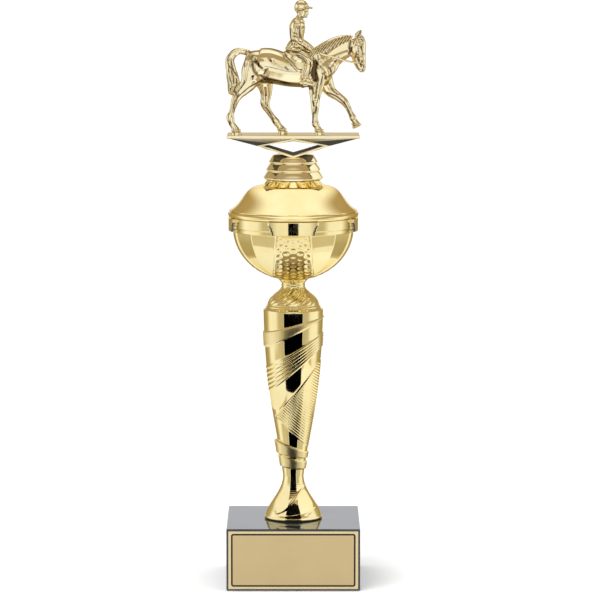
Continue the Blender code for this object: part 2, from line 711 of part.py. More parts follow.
def rider_forms():
    """Coat, head in its cap, arms, and legs in long boots."""
    trunk = [
        (0.2, 0, 55.0, 5.0, 4.6),
        (1.4, 0, 60.0, 5.2, 4.8),
        (2.3, 0, 64.0, 4.8, 4.5),
        (2.5, 0, 69.0, 5.7, 5.1),
        (2.8, 0, 73.6, 6.7, 5.5),
        (3.2, 0, 76.6, 6.6, 4.4),
        (4.0, 0, 78.6, 3.2, 2.8),
        (4.9, 0, 81.0, 2.2, 2.2),
    ]
    coat_tail = [
        (0.6, 0, 63.0, 4.6, 3.0),
        (-1.6, 0, 60.0, 5.0, 3.0),
        (-4.0, 0, 57.2, 4.6, 2.0),
    ]
    coat_front = [
        (1.6, 0, 62.4, 4.8, 3.4),
        (5.4, 0, 60.0, 5.4, 3.0),
        (9.4, 0, 57.4, 4.6, 2.2),
    ]
    head = [
        (6.4, 0, 79.4, 1.6, 1.6),
        (6.4, 0, 81.0, 2.7, 3.2),
        (6.2, 0, 83.6, 3.3, 4.2),
        (5.7, 0, 86.0, 4.2, 4.9),
        (5.5, 0, 88.6, 3.9, 4.5),
        (5.5, 0, 90.5, 2.6, 3.1),
        (5.5, 0, 91.4, 1.2, 1.4),
    ]
    peak = [
        (8.0, 0, 86.6, 3.2, 0.8),
        (11.0, 0, 86.3, 2.8, 0.7),
        (13.2, 0, 85.8, 1.6, 0.6),
    ]
    arm = [
        (2.8, -6.0, 75.6, 2.2, 2.4),
        (1.9, -7.6, 71.4, 2.0, 2.4),
        (1.6, -8.2, 66.8, 2.0, 2.3),
        (4.6, -7.6, 63.6, 1.9, 2.2),
        (8.6, -6.2, 61.2, 1.7, 2.1),
        (12.6, -4.8, 58.0, 1.6, 2.0),
    ]
    leg = [
        (-0.6, -4.4, 56.2, 3.2, 3.6),
        (4.6, -7.8, 54.6, 2.8, 3.4),
        (10.2, -9.6, 50.6, 2.3, 2.9),
        (10.4, -10.6, 46.4, 2.1, 2.6),
        (8.8, -10.9, 41.4, 1.8, 2.2),
        (7.6, -10.9, 37.0, 1.5, 1.6),
    ]
    foot = [
        (4.2, -10.9, 35.6, 1.1, 1.1),
        (7.6, -11.0, 35.6, 1.5, 1.6),
        (11.0, -11.2, 34.8, 1.5, 1.3),
        (13.8, -11.3, 34.2, 1.0, 0.8),
    ]
    paired = [arm, leg, foot]
    return [trunk, coat_tail, coat_front, head, peak, *paired, *map(mirrored, paired)]


def make_riding_group():
    """Horse and rider as one skin: the forms are gathered, fused on a fine grid and thinned."""
    points, faces = [], []
    for form in horse_forms() + rider_forms():
        some, made = loft(form)
        faces += [tuple(len(points) + i for i in face) for face in made]
        points += list(some)
    group = add_mesh("riding_group", np.array(points) * UNIT, faces, helpers)
    group.location = (0, 0, GROUND_Z)
    skin = group.modifiers.new("one_skin", "REMESH")
    skin.mode = "VOXEL"
    skin.voxel_size = FIGURE_VOXEL
    even = group.modifiers.new("even_out", "SMOOTH")
    even.factor = 0.5
    even.iterations = 3
    group = made_plain(group, helpers)
    count = sum(len(face.vertices) - 2 for face in group.data.polygons)
    thin = group.modifiers.new("thin_out", "DECIMATE")
    thin.ratio = FIGURE_TRIANGLES / count
    group = made_plain(group, helpers)
    group.data.shade_smooth()
    return group


def make_figure():
    figure = turned("horse_and_rider", collar_profile(), COLLAR_TURN_STEPS)
    join_by_union(figure, make_bracket(), make_ground(), make_riding_group())
    figure.data.materials.append(PALE_GOLD)


make_block()
make_engraving_plate()
make_column()
make_bowl()
make_lid()
make_figure()
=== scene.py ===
import math

import bpy
import numpy as np
from mathutils import Matrix, Vector


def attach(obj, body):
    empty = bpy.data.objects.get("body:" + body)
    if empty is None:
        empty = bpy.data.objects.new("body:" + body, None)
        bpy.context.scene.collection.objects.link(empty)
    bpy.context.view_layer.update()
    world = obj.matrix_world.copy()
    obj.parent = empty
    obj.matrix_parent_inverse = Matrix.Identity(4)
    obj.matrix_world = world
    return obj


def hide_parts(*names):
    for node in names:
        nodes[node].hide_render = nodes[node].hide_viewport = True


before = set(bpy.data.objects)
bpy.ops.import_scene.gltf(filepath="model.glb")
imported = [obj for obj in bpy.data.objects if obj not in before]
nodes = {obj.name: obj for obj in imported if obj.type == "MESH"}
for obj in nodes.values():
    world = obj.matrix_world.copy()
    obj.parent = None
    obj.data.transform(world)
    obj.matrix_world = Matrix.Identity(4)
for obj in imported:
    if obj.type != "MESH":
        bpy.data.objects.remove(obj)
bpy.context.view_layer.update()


# The stone block.
# A sawn and polished block of dark stone that carries the whole trophy and keeps it upright.
# The column is bolted down through it from below.
BLOCK_HEIGHT = 0.042
STONE_DARK = (0.016, 0.022, 0.026, 1)
STONE_LIGHT = (0.032, 0.040, 0.045, 1)
STONE_FLECK = (0.10, 0.11, 0.12, 1)


class Tree:
    """A node tree being built. A value goes into an input as it is, and a socket is linked to it."""

    def __init__(self, tree):
        self.tree = tree

    def put(self, value, socket):
        if isinstance(value, bpy.types.NodeSocket):
            self.tree.links.new(value, socket)
        else:
            socket.default_value = value

    def add(self, kind, inputs=(), **attributes):
        """A node of this kind with these attributes and inputs."""
        made = self.tree.nodes.new(kind)
        for key, value in attributes.items():
            setattr(made, key, value)
        for key, value in dict(inputs).items():
            self.put(value, made.inputs[key])
        return made

    def axes(self, kind="Object"):
        """The x, y and z of these coordinates."""
        where = self.add("ShaderNodeTexCoord").outputs[kind]
        return self.add("ShaderNodeSeparateXYZ", {"Vector": where}).outputs

    def math(self, operation, *values):
        return self.add("ShaderNodeMath", dict(enumerate(values)), operation=operation).outputs["Value"]

    def blend(self, share, first, second):
        """The first colour where share is 0 and the second where it is 1."""
        made = self.add("ShaderNodeMix", {"Factor": share}, data_type="RGBA")
        for socket, colour in zip([s for s in made.inputs if s.type == "RGBA"], (first, second)):
            self.put(colour, socket)
        return next(s for s in made.outputs if s.type == "RGBA")

    def share(self, value, low, high, curve="LINEAR"):
        """0 where value is low and 1 where it is high."""
        limits = {"Value": value, "From Min": low, "From Max": high}
        return self.add("ShaderNodeMapRange", limits, interpolation_type=curve).outputs["Result"]

    def spread(self, value, low, high):
        """value from 0 to 1 spread over low to high."""
        limits = {"Value": value, "To Min": low, "To Max": high}
        return self.add("ShaderNodeMapRange", limits).outputs["Result"]


def handling_group():
    """Fine life on a surface: a slow drift of tone, small smears from handling and a grain.
    Tone, smear and grain are noise at three sizes of the object's own coordinates."""
    group = bpy.data.node_groups.new("handling", "ShaderNodeTree")
    for name, start in (("Scale", 40.0), ("Grain Scale", 900.0)):
        made = group.interface.new_socket(name, in_out="INPUT", socket_type="NodeSocketFloat")
        made.default_value = start
    for name in ("Tone", "Smear", "Grain"):
        group.interface.new_socket(name, in_out="OUTPUT", socket_type="NodeSocketFloat")
    build = Tree(group)
    scales = build.add("NodeGroupInput").outputs
    results = build.add("NodeGroupOutput").inputs
    where = build.add("ShaderNodeTexCoord").outputs["Object"]
    for name, scale, detail, low, high in (
        ("Tone", "Scale", 3.0, 0.35, 0.65),
        ("Smear", "Scale", 6.0, 0.50, 0.72),
        ("Grain", "Grain Scale", 2.0, 0.0, 1.0),
    ):
        inputs = {"Vector": where, "Scale": scales[scale], "Detail": detail}
        noise = build.add("ShaderNodeTexNoise", inputs).outputs["Fac"]
        build.put(build.share(noise, low, high), results[name])
    return group


HANDLING = handling_group()


class Finish(Tree):
    """A material being built, with its Principled shader."""

    def __init__(self, name):
        self.material = bpy.data.materials.new(name)
        self.material.use_nodes = True
        super().__init__(self.material.node_tree)
        self.shader = self.tree.nodes["Principled BSDF"]

    def shade(self, inputs):
        """Puts values or links into the shader's inputs."""
        for key, value in inputs.items():
            self.put(value, self.shader.inputs[key])

    def handling(self, scale, grain_scale):
        """The tone, smear and grain of the shared group at this material's own scales."""
        scales = {"Scale": scale, "Grain Scale": grain_scale}
        return self.add("ShaderNodeGroup", scales, node_tree=HANDLING).outputs

    def bump(self, height, distance, strength=1.0):
        """Pushes the shader's normal by this height."""
        inputs = {"Height": height, "Distance": distance, "Strength": strength}
        self.shade({"Normal": self.add("ShaderNodeBump", inputs).outputs["Normal"]})


def coat(node, material):
    """Gives a node this material alone."""
    node.data.materials.clear()
    node.data.materials.append(material)


def polished_stone():
    """Dark stone with paler flecks where a fine cell pattern comes near its points."""
    finish = Finish("polished_dark_stone")
    life = finish.handling(60.0, 1400.0)
    where = finish.add("ShaderNodeTexCoord").outputs["Object"]
    cells = finish.add("ShaderNodeTexVoronoi", {"Scale": 900.0, "Vector": where}).outputs["Distance"]
    flecks = finish.math("MULTIPLY", finish.share(cells, 0.20, 0.05), 0.35)
    ground = finish.blend(life["Tone"], STONE_DARK, STONE_LIGHT)
    finish.shade({"IOR": 1.62, "Base Color": finish.blend(flecks, ground, STONE_FLECK)})
    finish.shade({"Roughness": finish.spread(life["Smear"], 0.03, 0.07)})
    finish.bump(life["Grain"], 0.000004, 0.2)
    return finish.material


coat(nodes["stone_block"], polished_stone())


# The engraving plate.
# A thin sheet of satin gold-coloured metal glued to the block's front, left bare for engraving.
# Its black border line is printed, and the strip outside the line is a shade lighter.
SHEET_GOLD = (0.500, 0.385, 0.195, 1)
SHEET_GOLD_LIGHT = (0.525, 0.40425, 0.20475, 1)
SHEET_EDGE_GOLD = (0.660, 0.530, 0.300, 1)
BORDER_BLACK = (0.010, 0.009, 0.007, 1)
BORDER_HALF_WIDTH = 0.04130
BORDER_HALF_HEIGHT = 0.01750
BORDER_CORNER = 0.0011
BORDER_LINE = 0.00058


def satin_sheet():
    """The border is a rounded rectangle: the distance to it is the length of the part of
    |position| - half size + corner that is above zero, less the corner radius."""
    finish = Finish("satin_sheet")
    life = finish.handling(30.0, 2600.0)
    place = finish.axes()
    rise = finish.math("SUBTRACT", place["Z"], BLOCK_HEIGHT / 2)
    beyond = [
        finish.math("SUBTRACT", finish.math("ABSOLUTE", along), half - BORDER_CORNER)
        for along, half in ((place["X"], BORDER_HALF_WIDTH), (rise, BORDER_HALF_HEIGHT))
    ]
    outside = [finish.math("MAXIMUM", value, 0.0) for value in beyond]
    squares = [finish.math("MULTIPLY", value, value) for value in outside]
    reach = finish.math("POWER", finish.math("ADD", *squares), 0.5)
    inner = finish.math("MINIMUM", finish.math("MAXIMUM", *beyond), 0.0)
    distance = finish.math("SUBTRACT", finish.math("ADD", reach, inner), BORDER_CORNER)
    strip = finish.math("GREATER_THAN", distance, 0.0)
    line = finish.math("LESS_THAN", finish.math("ABSOLUTE", distance), BORDER_LINE)
    toned = finish.blend(life["Tone"], SHEET_GOLD, SHEET_GOLD_LIGHT)
    ground = finish.blend(strip, toned, SHEET_EDGE_GOLD)
    finish.shade({"Base Color": finish.blend(line, ground, BORDER_BLACK)})
    finish.shade({"Metallic": 0.35, "Roughness": finish.spread(life["Smear"], 0.42, 0.50)})
    finish.bump(life["Grain"], 0.00001, 0.4)
    return finish.material


coat(nodes["engraving_plate"], satin_sheet())


# The spiral column.
# One hollow plastic moulding plated bright yellow gold: a flared foot with a crescent blade, a
# tapering stem wound with slanting bands, and a shoulder of twisted flutes. It stands on the block.
COLUMN_FOOT_Z = 0.0423
FOOT_RADIUS = 0.0198
FOOT_HEIGHT = 0.029
ANKLE_RADIUS = 0.0070
STEM_HEIGHT = 0.114
STEM_RADIUS = 0.0203
RING_HEIGHT = 0.0044
SWIRL_HEIGHT = 0.0120
SWIRL_RADIUS = 0.0174
NECK_RADIUS = 0.0078
NECK_HEIGHT = 0.0048
SEAT_RADIUS = 0.0102
STEM_FOOT_Z = COLUMN_FOOT_Z + FOOT_HEIGHT
STEM_TOP_Z = STEM_FOOT_Z + STEM_HEIGHT
SWIRL_Z = STEM_TOP_Z + RING_HEIGHT
NECK_Z = SWIRL_Z + SWIRL_HEIGHT
COLUMN_TOP_Z = NECK_Z + NECK_HEIGHT
GOLD_BRIGHT = (0.960, 0.835, 0.465, 1)
GOLD_DEEP = (0.930, 0.780, 0.390, 1)
# Painted near black, for shade and dark reflections on the plating
PAINTED_NEAR_BLACK = (0.030, 0.027, 0.024, 1)
GOLD_TINT = (0.86, 0.76, 0.50, 1)
# Painted brown, for shade and dark reflections on the plating
PAINTED_SHADE_BROWN = (0.092, 0.052, 0.020, 1)


def bezier(start, pull_a, pull_b, end, count):
    """Points of the cubic (1-t)^3 start + 3(1-t)^2 t a + 3(1-t) t^2 b + t^3 end."""
    t = np.linspace(0, 1, count)[:, None]
    a, b, c, d = (np.array(p, float) for p in (start, pull_a, pull_b, end))
    return a * (1 - t) ** 3 + 3 * b * t * (1 - t) ** 2 + 3 * c * t**2 * (1 - t) + d * t**3


def smooth_step(value, low, high):
    """0 below low and 1 above high, and 3t^2 - 2t^3 of the share t between them."""
    t = np.clip((value - low) / (high - low), 0, 1)
    return t * t * (3 - 2 * t)


def plain_mesh(name, points, faces, material=None):
    """A mesh object of these points and groups of faces."""
    mesh = bpy.data.meshes.new(name)
    mesh.from_pydata(np.asarray(points).tolist(), [], [face for group in faces for face in group.tolist()])
    if material:
        mesh.materials.append(material)
    made = bpy.data.objects.new(name, mesh)
    bpy.context.scene.collection.objects.link(made)
    return made


def make_mesh(name, points, faces, material, **masks):
    """A smooth-shaded piece with these masks, turned outward by the sign of its volume, which is
    the sum of a . (b x c) over its triangles."""
    fans = [group[:, (0, k, k + 1)] for group in faces for k in range(1, group.shape[1] - 1)]
    corners = points[np.vstack(fans)]
    volume = np.einsum("ij,ij->", corners[:, 0], np.cross(corners[:, 1], corners[:, 2]))
    if volume < 0:
        faces = [group[:, ::-1] for group in faces]
    made = plain_mesh(name, points, faces, material)
    made.data.shade_smooth()
    for key, values in masks.items():
        layer = made.data.attributes.new(key, "FLOAT", "POINT")
        layer.data.foreach_set("value", values.astype(np.float32))
    return made


def ring_quads(rows, columns, closed=False):
    """Quads of a grid of points whose last column joins the first and, if closed, last row too."""
    i = np.arange(rows if closed else rows - 1)[:, None] * columns
    n = (i + columns) % (rows * columns)
    j = np.arange(columns)
    k = (j + 1) % columns
    return np.stack([i + j, i + k, n + k, n + j], axis=2).reshape(-1, 4)


def around(count):
    """Evenly spaced angles of one turn, from the back round the left, front and right."""
    return np.linspace(-math.pi, math.pi, count, endpoint=False)


def spun(name, radius, height, angle, material, **masks):
    """A closed skin round the axis: row i, column j lies at radius[i, j], height[i] and angle[j].
    The first and last rows are drawn together into poles."""
    rows, columns = radius.shape
    height = np.broadcast_to(np.reshape(height, (rows, -1)), radius.shape)
    ring = np.stack([radius * np.sin(angle), -radius * np.cos(angle), height], axis=2).reshape(-1, 3)
    points = np.vstack([ring, (0, 0, np.mean(height[0])), (0, 0, np.mean(height[-1]))])
    j = np.arange(columns)
    k = (j + 1) % columns
    last = (rows - 1) * columns
    foot = np.stack([np.full(columns, rows * columns), k, j], axis=1)
    head = np.stack([np.full(columns, rows * columns + 1), last + j, last + k], axis=1)
    levels = {key: np.append(mask.ravel(), [0, 0]) for key, mask in masks.items()}
    return make_mesh(name, points, [ring_quads(rows, columns), foot, head], material, **levels)


def gold_plating(name, bright, deep, roughness):
    """Mirror plating: two golds drift into each other and smears dull it. Where the matte mask is
    up it is rough and finely pitted; where the painted shade mask is up, shade and dark reflections
    are painted in brown; and where the painted dark mask is up they are painted near black, not metallic."""
    finish = Finish(name)
    life = finish.handling(70.0, 1100.0)
    matte, tarnish, thin = (
        finish.add("ShaderNodeAttribute", attribute_name=mask).outputs["Fac"]
        for mask in ("matte", "tarnish", "thin")
    )
    plated = finish.blend(tarnish, finish.blend(life["Tone"], deep, bright), PAINTED_SHADE_BROWN)
    worn = finish.spread(life["Smear"], roughness, roughness + 0.05)
    rough = finish.math("ADD", worn, finish.math("MULTIPLY", matte, 0.33))
    finish.shade({"Base Color": finish.blend(thin, plated, PAINTED_NEAR_BLACK), "Specular Tint": GOLD_TINT})
    finish.shade({"Metallic": finish.math("SUBTRACT", 1.0, thin)})
    finish.shade({"Roughness": finish.math("ADD", rough, finish.math("MULTIPLY", thin, 0.5))})
    waviness = finish.math("MULTIPLY", life["Tone"], 0.10)
    pits = finish.math("MULTIPLY", finish.math("MULTIPLY", life["Grain"], matte), 2.4)
    finish.bump(finish.math("ADD", waviness, pits), 0.00012, 0.6)
    return finish.material


YELLOW_GOLD = gold_plating("yellow_gold_plating", GOLD_BRIGHT, GOLD_DEEP, 0.055)


def column_side(height):
    """The plain radius at each height: foot lip, flare, ankle, stem, beads, shoulder and neck."""
    foot = COLUMN_FOOT_Z
    lip = [(FOOT_RADIUS - 0.0006, foot), (FOOT_RADIUS, foot + 0.0004), (FOOT_RADIUS, foot + 0.0012)]
    groove = [(FOOT_RADIUS - 0.0007, foot + 0.0017), (FOOT_RADIUS * 0.95, foot + 0.0024)]
    shoulder = (FOOT_RADIUS * 0.95, foot + 0.0026)
    flare = bezier(
        shoulder,
        (FOOT_RADIUS * 0.80, foot + FOOT_HEIGHT * 0.42),
        (ANKLE_RADIUS * 1.04, foot + FOOT_HEIGHT * 0.62),
        (ANKLE_RADIUS, STEM_FOOT_Z),
        40,
    )
    stem = bezier(
        (ANKLE_RADIUS, STEM_FOOT_Z),
        (ANKLE_RADIUS + 0.0045, STEM_FOOT_Z + STEM_HEIGHT * 0.32),
        (STEM_RADIUS - 0.0012, STEM_FOOT_Z + STEM_HEIGHT * 0.48),
        (STEM_RADIUS, STEM_TOP_Z),
        60,
    )
    ring = [
        (STEM_RADIUS - 0.0001, STEM_TOP_Z + 0.0004),
        (SWIRL_RADIUS + 0.0012, STEM_TOP_Z + 0.0018),
        (SWIRL_RADIUS + 0.0009, STEM_TOP_Z + 0.0022),
        (SWIRL_RADIUS + 0.0011, STEM_TOP_Z + 0.0027),
        (SWIRL_RADIUS + 0.0006, STEM_TOP_Z + 0.0033),
        (SWIRL_RADIUS - 0.0001, STEM_TOP_Z + 0.0036),
        (SWIRL_RADIUS + 0.0003, STEM_TOP_Z + 0.0041),
    ]
    swirl = bezier(
        (SWIRL_RADIUS, SWIRL_Z),
        (SWIRL_RADIUS - 0.001, SWIRL_Z + SWIRL_HEIGHT * 0.45),
        (NECK_RADIUS + 0.0008, NECK_Z - SWIRL_HEIGHT * 0.35),
        (NECK_RADIUS, NECK_Z),
        30,
    )
    neck = [(NECK_RADIUS + 0.0004, NECK_Z + 0.0006), (NECK_RADIUS, NECK_Z + 0.0012)]
    top = bezier(
        (NECK_RADIUS, NECK_Z + 0.0013),
        (NECK_RADIUS, NECK_Z + NECK_HEIGHT * 0.55),
        (SEAT_RADIUS * 0.9, NECK_Z + NECK_HEIGHT * 0.7),
        (SEAT_RADIUS, COLUMN_TOP_Z),
        12,
    )
    path = np.vstack([lip, groove, flare, stem[1:], ring, swirl, neck, top])
    return np.interp(height, path[:, 1], path[:, 0])


def between(x, z, top, foot, ease):
    """1 between two slanted planes and 0 outside them, with an eased edge at each. A plane is its
    level and slope: z = level + slope * x."""
    return smooth_step(top[0] + top[1] * x - z, 0, ease) * smooth_step(z - foot[0] - foot[1] * x, 0, ease)


def column_skin():
    """Radius = plain side + bands, each raised between two slanted planes."""
    spans = [
        (COLUMN_FOOT_Z, 0.047, 16),
        (0.047, STEM_FOOT_Z, 60),
        (STEM_FOOT_Z, 0.100, 74),
        (0.100, 0.150, 150),
        (0.150, STEM_TOP_Z, 62),
        (STEM_TOP_Z, SWIRL_Z, 18),
        (SWIRL_Z, COLUMN_TOP_Z, 44),
    ]
    level = np.concatenate([np.linspace(a, b, n, endpoint=False) for a, b, n in spans] + [[COLUMN_TOP_Z]])
    angle = around(224)
    z = level[:, None]
    base = column_side(level)[:, None]
    x = base * np.sin(angle)

    # The upper ribbon is matte, has crisp edges and narrows to the right
    ribbon = between(x, z, (0.1760, 0.262), (0.1700, 0.505), 0.0005)
    out = 0.0009 * ribbon
    matte = ribbon

    # Six pleats, each a ridge with a steep lower side, fade out at the left
    top = 0.1588 + 0.585 * x
    foot = 0.1440 + 0.880 * x
    share = (top - z) / (top - foot)
    inside = smooth_step(share, 0, 0.02) * smooth_step(1 - share, 0, 0.02)
    fold = share * 6 % 1
    ridge = smooth_step(fold, 0, 0.72) * (1 - smooth_step(fold, 0.80, 1.0))
    fade = 0.45 + 0.55 * smooth_step(x, -0.017, -0.004)
    out += 0.0010 * inside * ridge * fade

    # A panel of fine ribs between two crossing planes
    top, foot = (0.1279, 1.258), (0.101085, -0.985)
    ribs = np.abs(np.sin(math.pi * (z + 0.88 * x) / 0.00205))
    out += between(x, z, top, foot, 0.0006) * (0.00055 * ribs - 0.0001)
    groove = np.exp(-(((top[0] + top[1] * x - z + 0.0003) / 0.0005) ** 2))
    out -= 0.0004 * groove * (z > foot[0] + foot[1] * x)

    # Two matte wraps just above the ankle, the upper one standing proud on the left
    for top, foot, raised, flare in (
        ((0.0920, -0.42), (0.0850, -0.20), 0.0012, 0.9),
        ((0.0838, -0.28), (0.0768, -0.12), 0.0011, 0.2),
    ):
        wrap = between(x, z, top, foot, 0.0006)
        out += wrap * raised * (1 + flare * smooth_step(-x, 0.000, 0.009))
        matte = matte + wrap * 0.8

    # On the foot, a crescent blade between two rising curves, a bead below it and fine rings above
    climb = np.clip((x + 0.0125) / 0.0205, 0, 1)
    upper = 0.0488 + 0.0172 * climb**1.25
    lower = 0.0466 + 0.0182 * climb**1.75
    blade = smooth_step(upper - z, 0, 0.0004) * smooth_step(z - lower, 0, 0.0004)
    blade = blade * smooth_step(climb, 0.0, 0.05) * (1 - smooth_step(climb, 0.95, 1.0))
    out += 0.0006 * blade * (z < STEM_FOOT_Z)
    bead = 0.0456 + 0.0046 * np.clip((x + 0.010) / 0.026, 0, 1) ** 2.2
    out += 0.0003 * np.exp(-(((z - bead) / 0.00035) ** 2)) * smooth_step(x, -0.011, -0.008)
    rings = smooth_step(z - upper, 0, 0.001) * smooth_step(0.0665 - z, 0, 0.001)
    out += 0.00007 * rings * np.cos(2 * math.pi * z / 0.0011) * (z < STEM_FOOT_Z)

    # Twisted flutes on the shoulder: rounded lobes between sharp valleys
    share = np.clip((z - SWIRL_Z) / SWIRL_HEIGHT, 0, 1)
    lobe = np.abs(np.sin(0.5 * 18 * (angle - 1.05 * share)))
    out += 0.0008 * (lobe - 0.7) * np.sin(math.pi * np.clip(share * 1.05, 0, 1)) ** 0.7

    return spun("spiral_column_skin", base + out, level, angle, YELLOW_GOLD, matte=np.clip(matte, 0, 1))


column = column_skin()
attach(column, "root")
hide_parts("spiral_column")


# The bowl.
# A hollow plated moulding that sits on the column's neck: four dimpled tongues with a shield at
# the head of each, and flat facets between them. Its plain band holds the lid.
BOWL_FOOT_Z = COLUMN_TOP_Z + 0.0003
BOWL_RADIUS = 0.0401
BOWL_DEPTH = 0.0362
BOWL_WALL = 0.0018
BAND_RADIUS = 0.0414
BAND_Z = BOWL_FOOT_Z + BOWL_DEPTH * math.sqrt(1 - (SEAT_RADIUS / BOWL_RADIUS) ** 2)
BOWL_TOP_Z = BAND_Z + 0.0066
SHIELD_RADIUS = 0.0439
DIMPLE_ACROSS = 0.00455
DIMPLE_ALONG = 0.0046
DIMPLE_DEPTH = 0.00050
SHIELD_HALF_WIDTH = 0.0174


def bowl_skin():
    """Outside, the radius is an ellipse's, raised on the tongues and brought in to chords between
    them; the band and the shields are upright. Inside is a plain ellipse, drawn in by the wall."""
    angle = around(320)
    last = math.acos(SEAT_RADIUS / BOWL_RADIUS)
    first = math.asin(0.0040 / BOWL_DEPTH)
    sweep = np.concatenate([np.linspace(last, first, 130), np.linspace(first, 0, 26)[1:]])
    ellipse_r = BOWL_RADIUS * np.cos(sweep)
    ellipse_z = BAND_Z - BOWL_DEPTH * np.sin(sweep)
    band_z = np.linspace(BAND_Z, BOWL_TOP_Z, 24)[1:]
    z = np.concatenate([ellipse_z, band_z])[:, None]
    plain = np.concatenate([ellipse_r, np.full(len(band_z), BOWL_RADIUS)])[:, None]
    steps = np.hypot(np.diff(plain[:, 0]), np.diff(z[:, 0]))
    along = np.concatenate([[0], np.cumsum(steps)])[:, None]

    # Tongues: a flat field inside a bevelled border, and chords from each tongue to the next
    half = math.pi / 4
    turn = (angle + half) % (2 * half) - half
    across = np.abs(plain * np.sin(turn))
    share = np.clip((BAND_Z - z) / BOWL_DEPTH, 0, 1)
    inner = 0.0104 + 0.0028 * share
    outer = inner + 0.0019 - 0.0009 * share
    edge = np.arcsin(np.minimum(outer / plain, math.sin(half - 0.10)))
    chord = plain * np.cos((half - edge) / 2) / np.cos(np.abs(turn) - (edge + half) / 2)
    radius = np.where(np.abs(turn) > edge, chord, plain)
    radius = radius + 0.0009 * smooth_step(outer - across, 0, outer - inner)

    # Round dimples in staggered columns on the tongues
    lane = np.round(plain * np.sin(turn) / DIMPLE_ACROSS)
    aside = plain * np.sin(turn) - lane * DIMPLE_ACROSS
    row = along / DIMPLE_ALONG + 0.5 * (lane % 2)
    beside = (row - np.round(row)) * DIMPLE_ALONG
    centre_gap = np.hypot(aside, beside)
    field = (across < inner - 0.0004) * (z < BAND_Z - 0.0046) * (share < 0.97)
    dimple = field * (1 - smooth_step(centre_gap, 0.0007, 0.0019))
    # Painted shade, in brown, round the dimples in the lower part of the tongues
    dimple_edge_shade = field * smooth_step(centre_gap, 0.0017, 0.0024) * smooth_step(share, 0.50, 0.66)
    radius = radius - DIMPLE_DEPTH * dimple

    # Lip under the band, the band itself, and a shield that narrows downward over each tongue, with
    # painted dark reflections, near black, at its two ends
    lip = smooth_step(z, BAND_Z - 0.0030, BAND_Z - 0.0026)
    radius = radius + (BOWL_RADIUS + 0.0006 - radius) * lip
    band = smooth_step(z, BAND_Z - 0.0003, BAND_Z + 0.0002)
    radius = radius + (BAND_RADIUS - radius) * band
    sides = SHIELD_HALF_WIDTH - 0.0026 * np.clip((BOWL_TOP_Z - 0.0024 - z) / 0.0066, 0, 1) ** 0.6
    reach = np.abs(SHIELD_RADIUS * np.sin(turn))
    shield = smooth_step(sides - reach, 0, 0.0004) * smooth_step(z, BAND_Z - 0.0025, BAND_Z - 0.0021)
    radius = radius + (SHIELD_RADIUS - radius) * shield
    # Painted dark reflection: near black at each shield's two ends
    ends = smooth_step(reach - sides, -0.0026, -0.0018) * smooth_step(sides - reach, -0.0004, 0.0004)
    ends = ends * (z > BAND_Z - 0.0022) * (z < BOWL_TOP_Z - 0.0022)
    notch = np.exp(-(((z - BAND_Z + 0.0036) / 0.00022) ** 2)) * (across < 0.0078)
    radius = radius - 0.0004 * notch

    # Rim and inner side
    wide = BOWL_RADIUS - BOWL_WALL
    deep = BAND_Z - BOWL_FOOT_Z - 1.5 * BOWL_WALL
    down = np.linspace(0, math.pi / 2 * 0.99, 26)
    height = np.concatenate([z[:, 0], [BOWL_TOP_Z, BOWL_TOP_Z], BAND_Z - deep * np.sin(down)])
    inner_radius = np.concatenate([[BAND_RADIUS - 0.0012, wide], wide * np.cos(down)])[:, None]
    plain = np.zeros((len(inner_radius), len(angle)))
    radius = np.vstack([radius, plain + inner_radius])
    # Painted dark reflections at the shields' ends and painted shade round the lower dimples
    masks = {"matte": 0.30 * dimple, "thin": ends, "tarnish": 0.75 * dimple_edge_shade}
    masks = {key: np.vstack([mask, plain]) for key, mask in masks.items()}
    return spun("bowl_skin", radius, height, angle, YELLOW_GOLD, **masks)


bowl = bowl_skin()
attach(bowl, "root")
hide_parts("bowl")


# The domed lid.
# A thin plated shell laid on the bowl's band, with a beaded rim and a scalloped boss on top.
# It lifts off; the figure's collar stands on the boss.
LID_Z = BOWL_TOP_Z + 0.0003
LID_RADIUS = 0.0442
LID_RIM_HEIGHT = 0.0042
DOME_HEIGHT = 0.0170
LID_WALL = 0.0018
DOME_Z = LID_Z + LID_RIM_HEIGHT
BOSS_Z = DOME_Z + DOME_HEIGHT
BOSS_RADIUS = 0.0216
BOSS_HEIGHT = 0.0042
BOSS_FLUTES = 16
LID_TOP_Z = BOSS_Z + BOSS_HEIGHT


def dome_side(inset, count):
    """The dome's side from the boss to the rim, drawn in by inset."""
    start = np.array((BOSS_RADIUS - inset, BOSS_Z - inset))
    end = np.array((LID_RADIUS - 0.001 - inset, DOME_Z + 0.0004))
    reach = end[0] - start[0]
    first_pull = (start[0] + reach * 0.56, start[1] + 0.0003)
    second_pull = (start[0] + reach * 0.55, DOME_Z + DOME_HEIGHT * 0.27)
    return bezier(start, first_pull, second_pull, end, count)


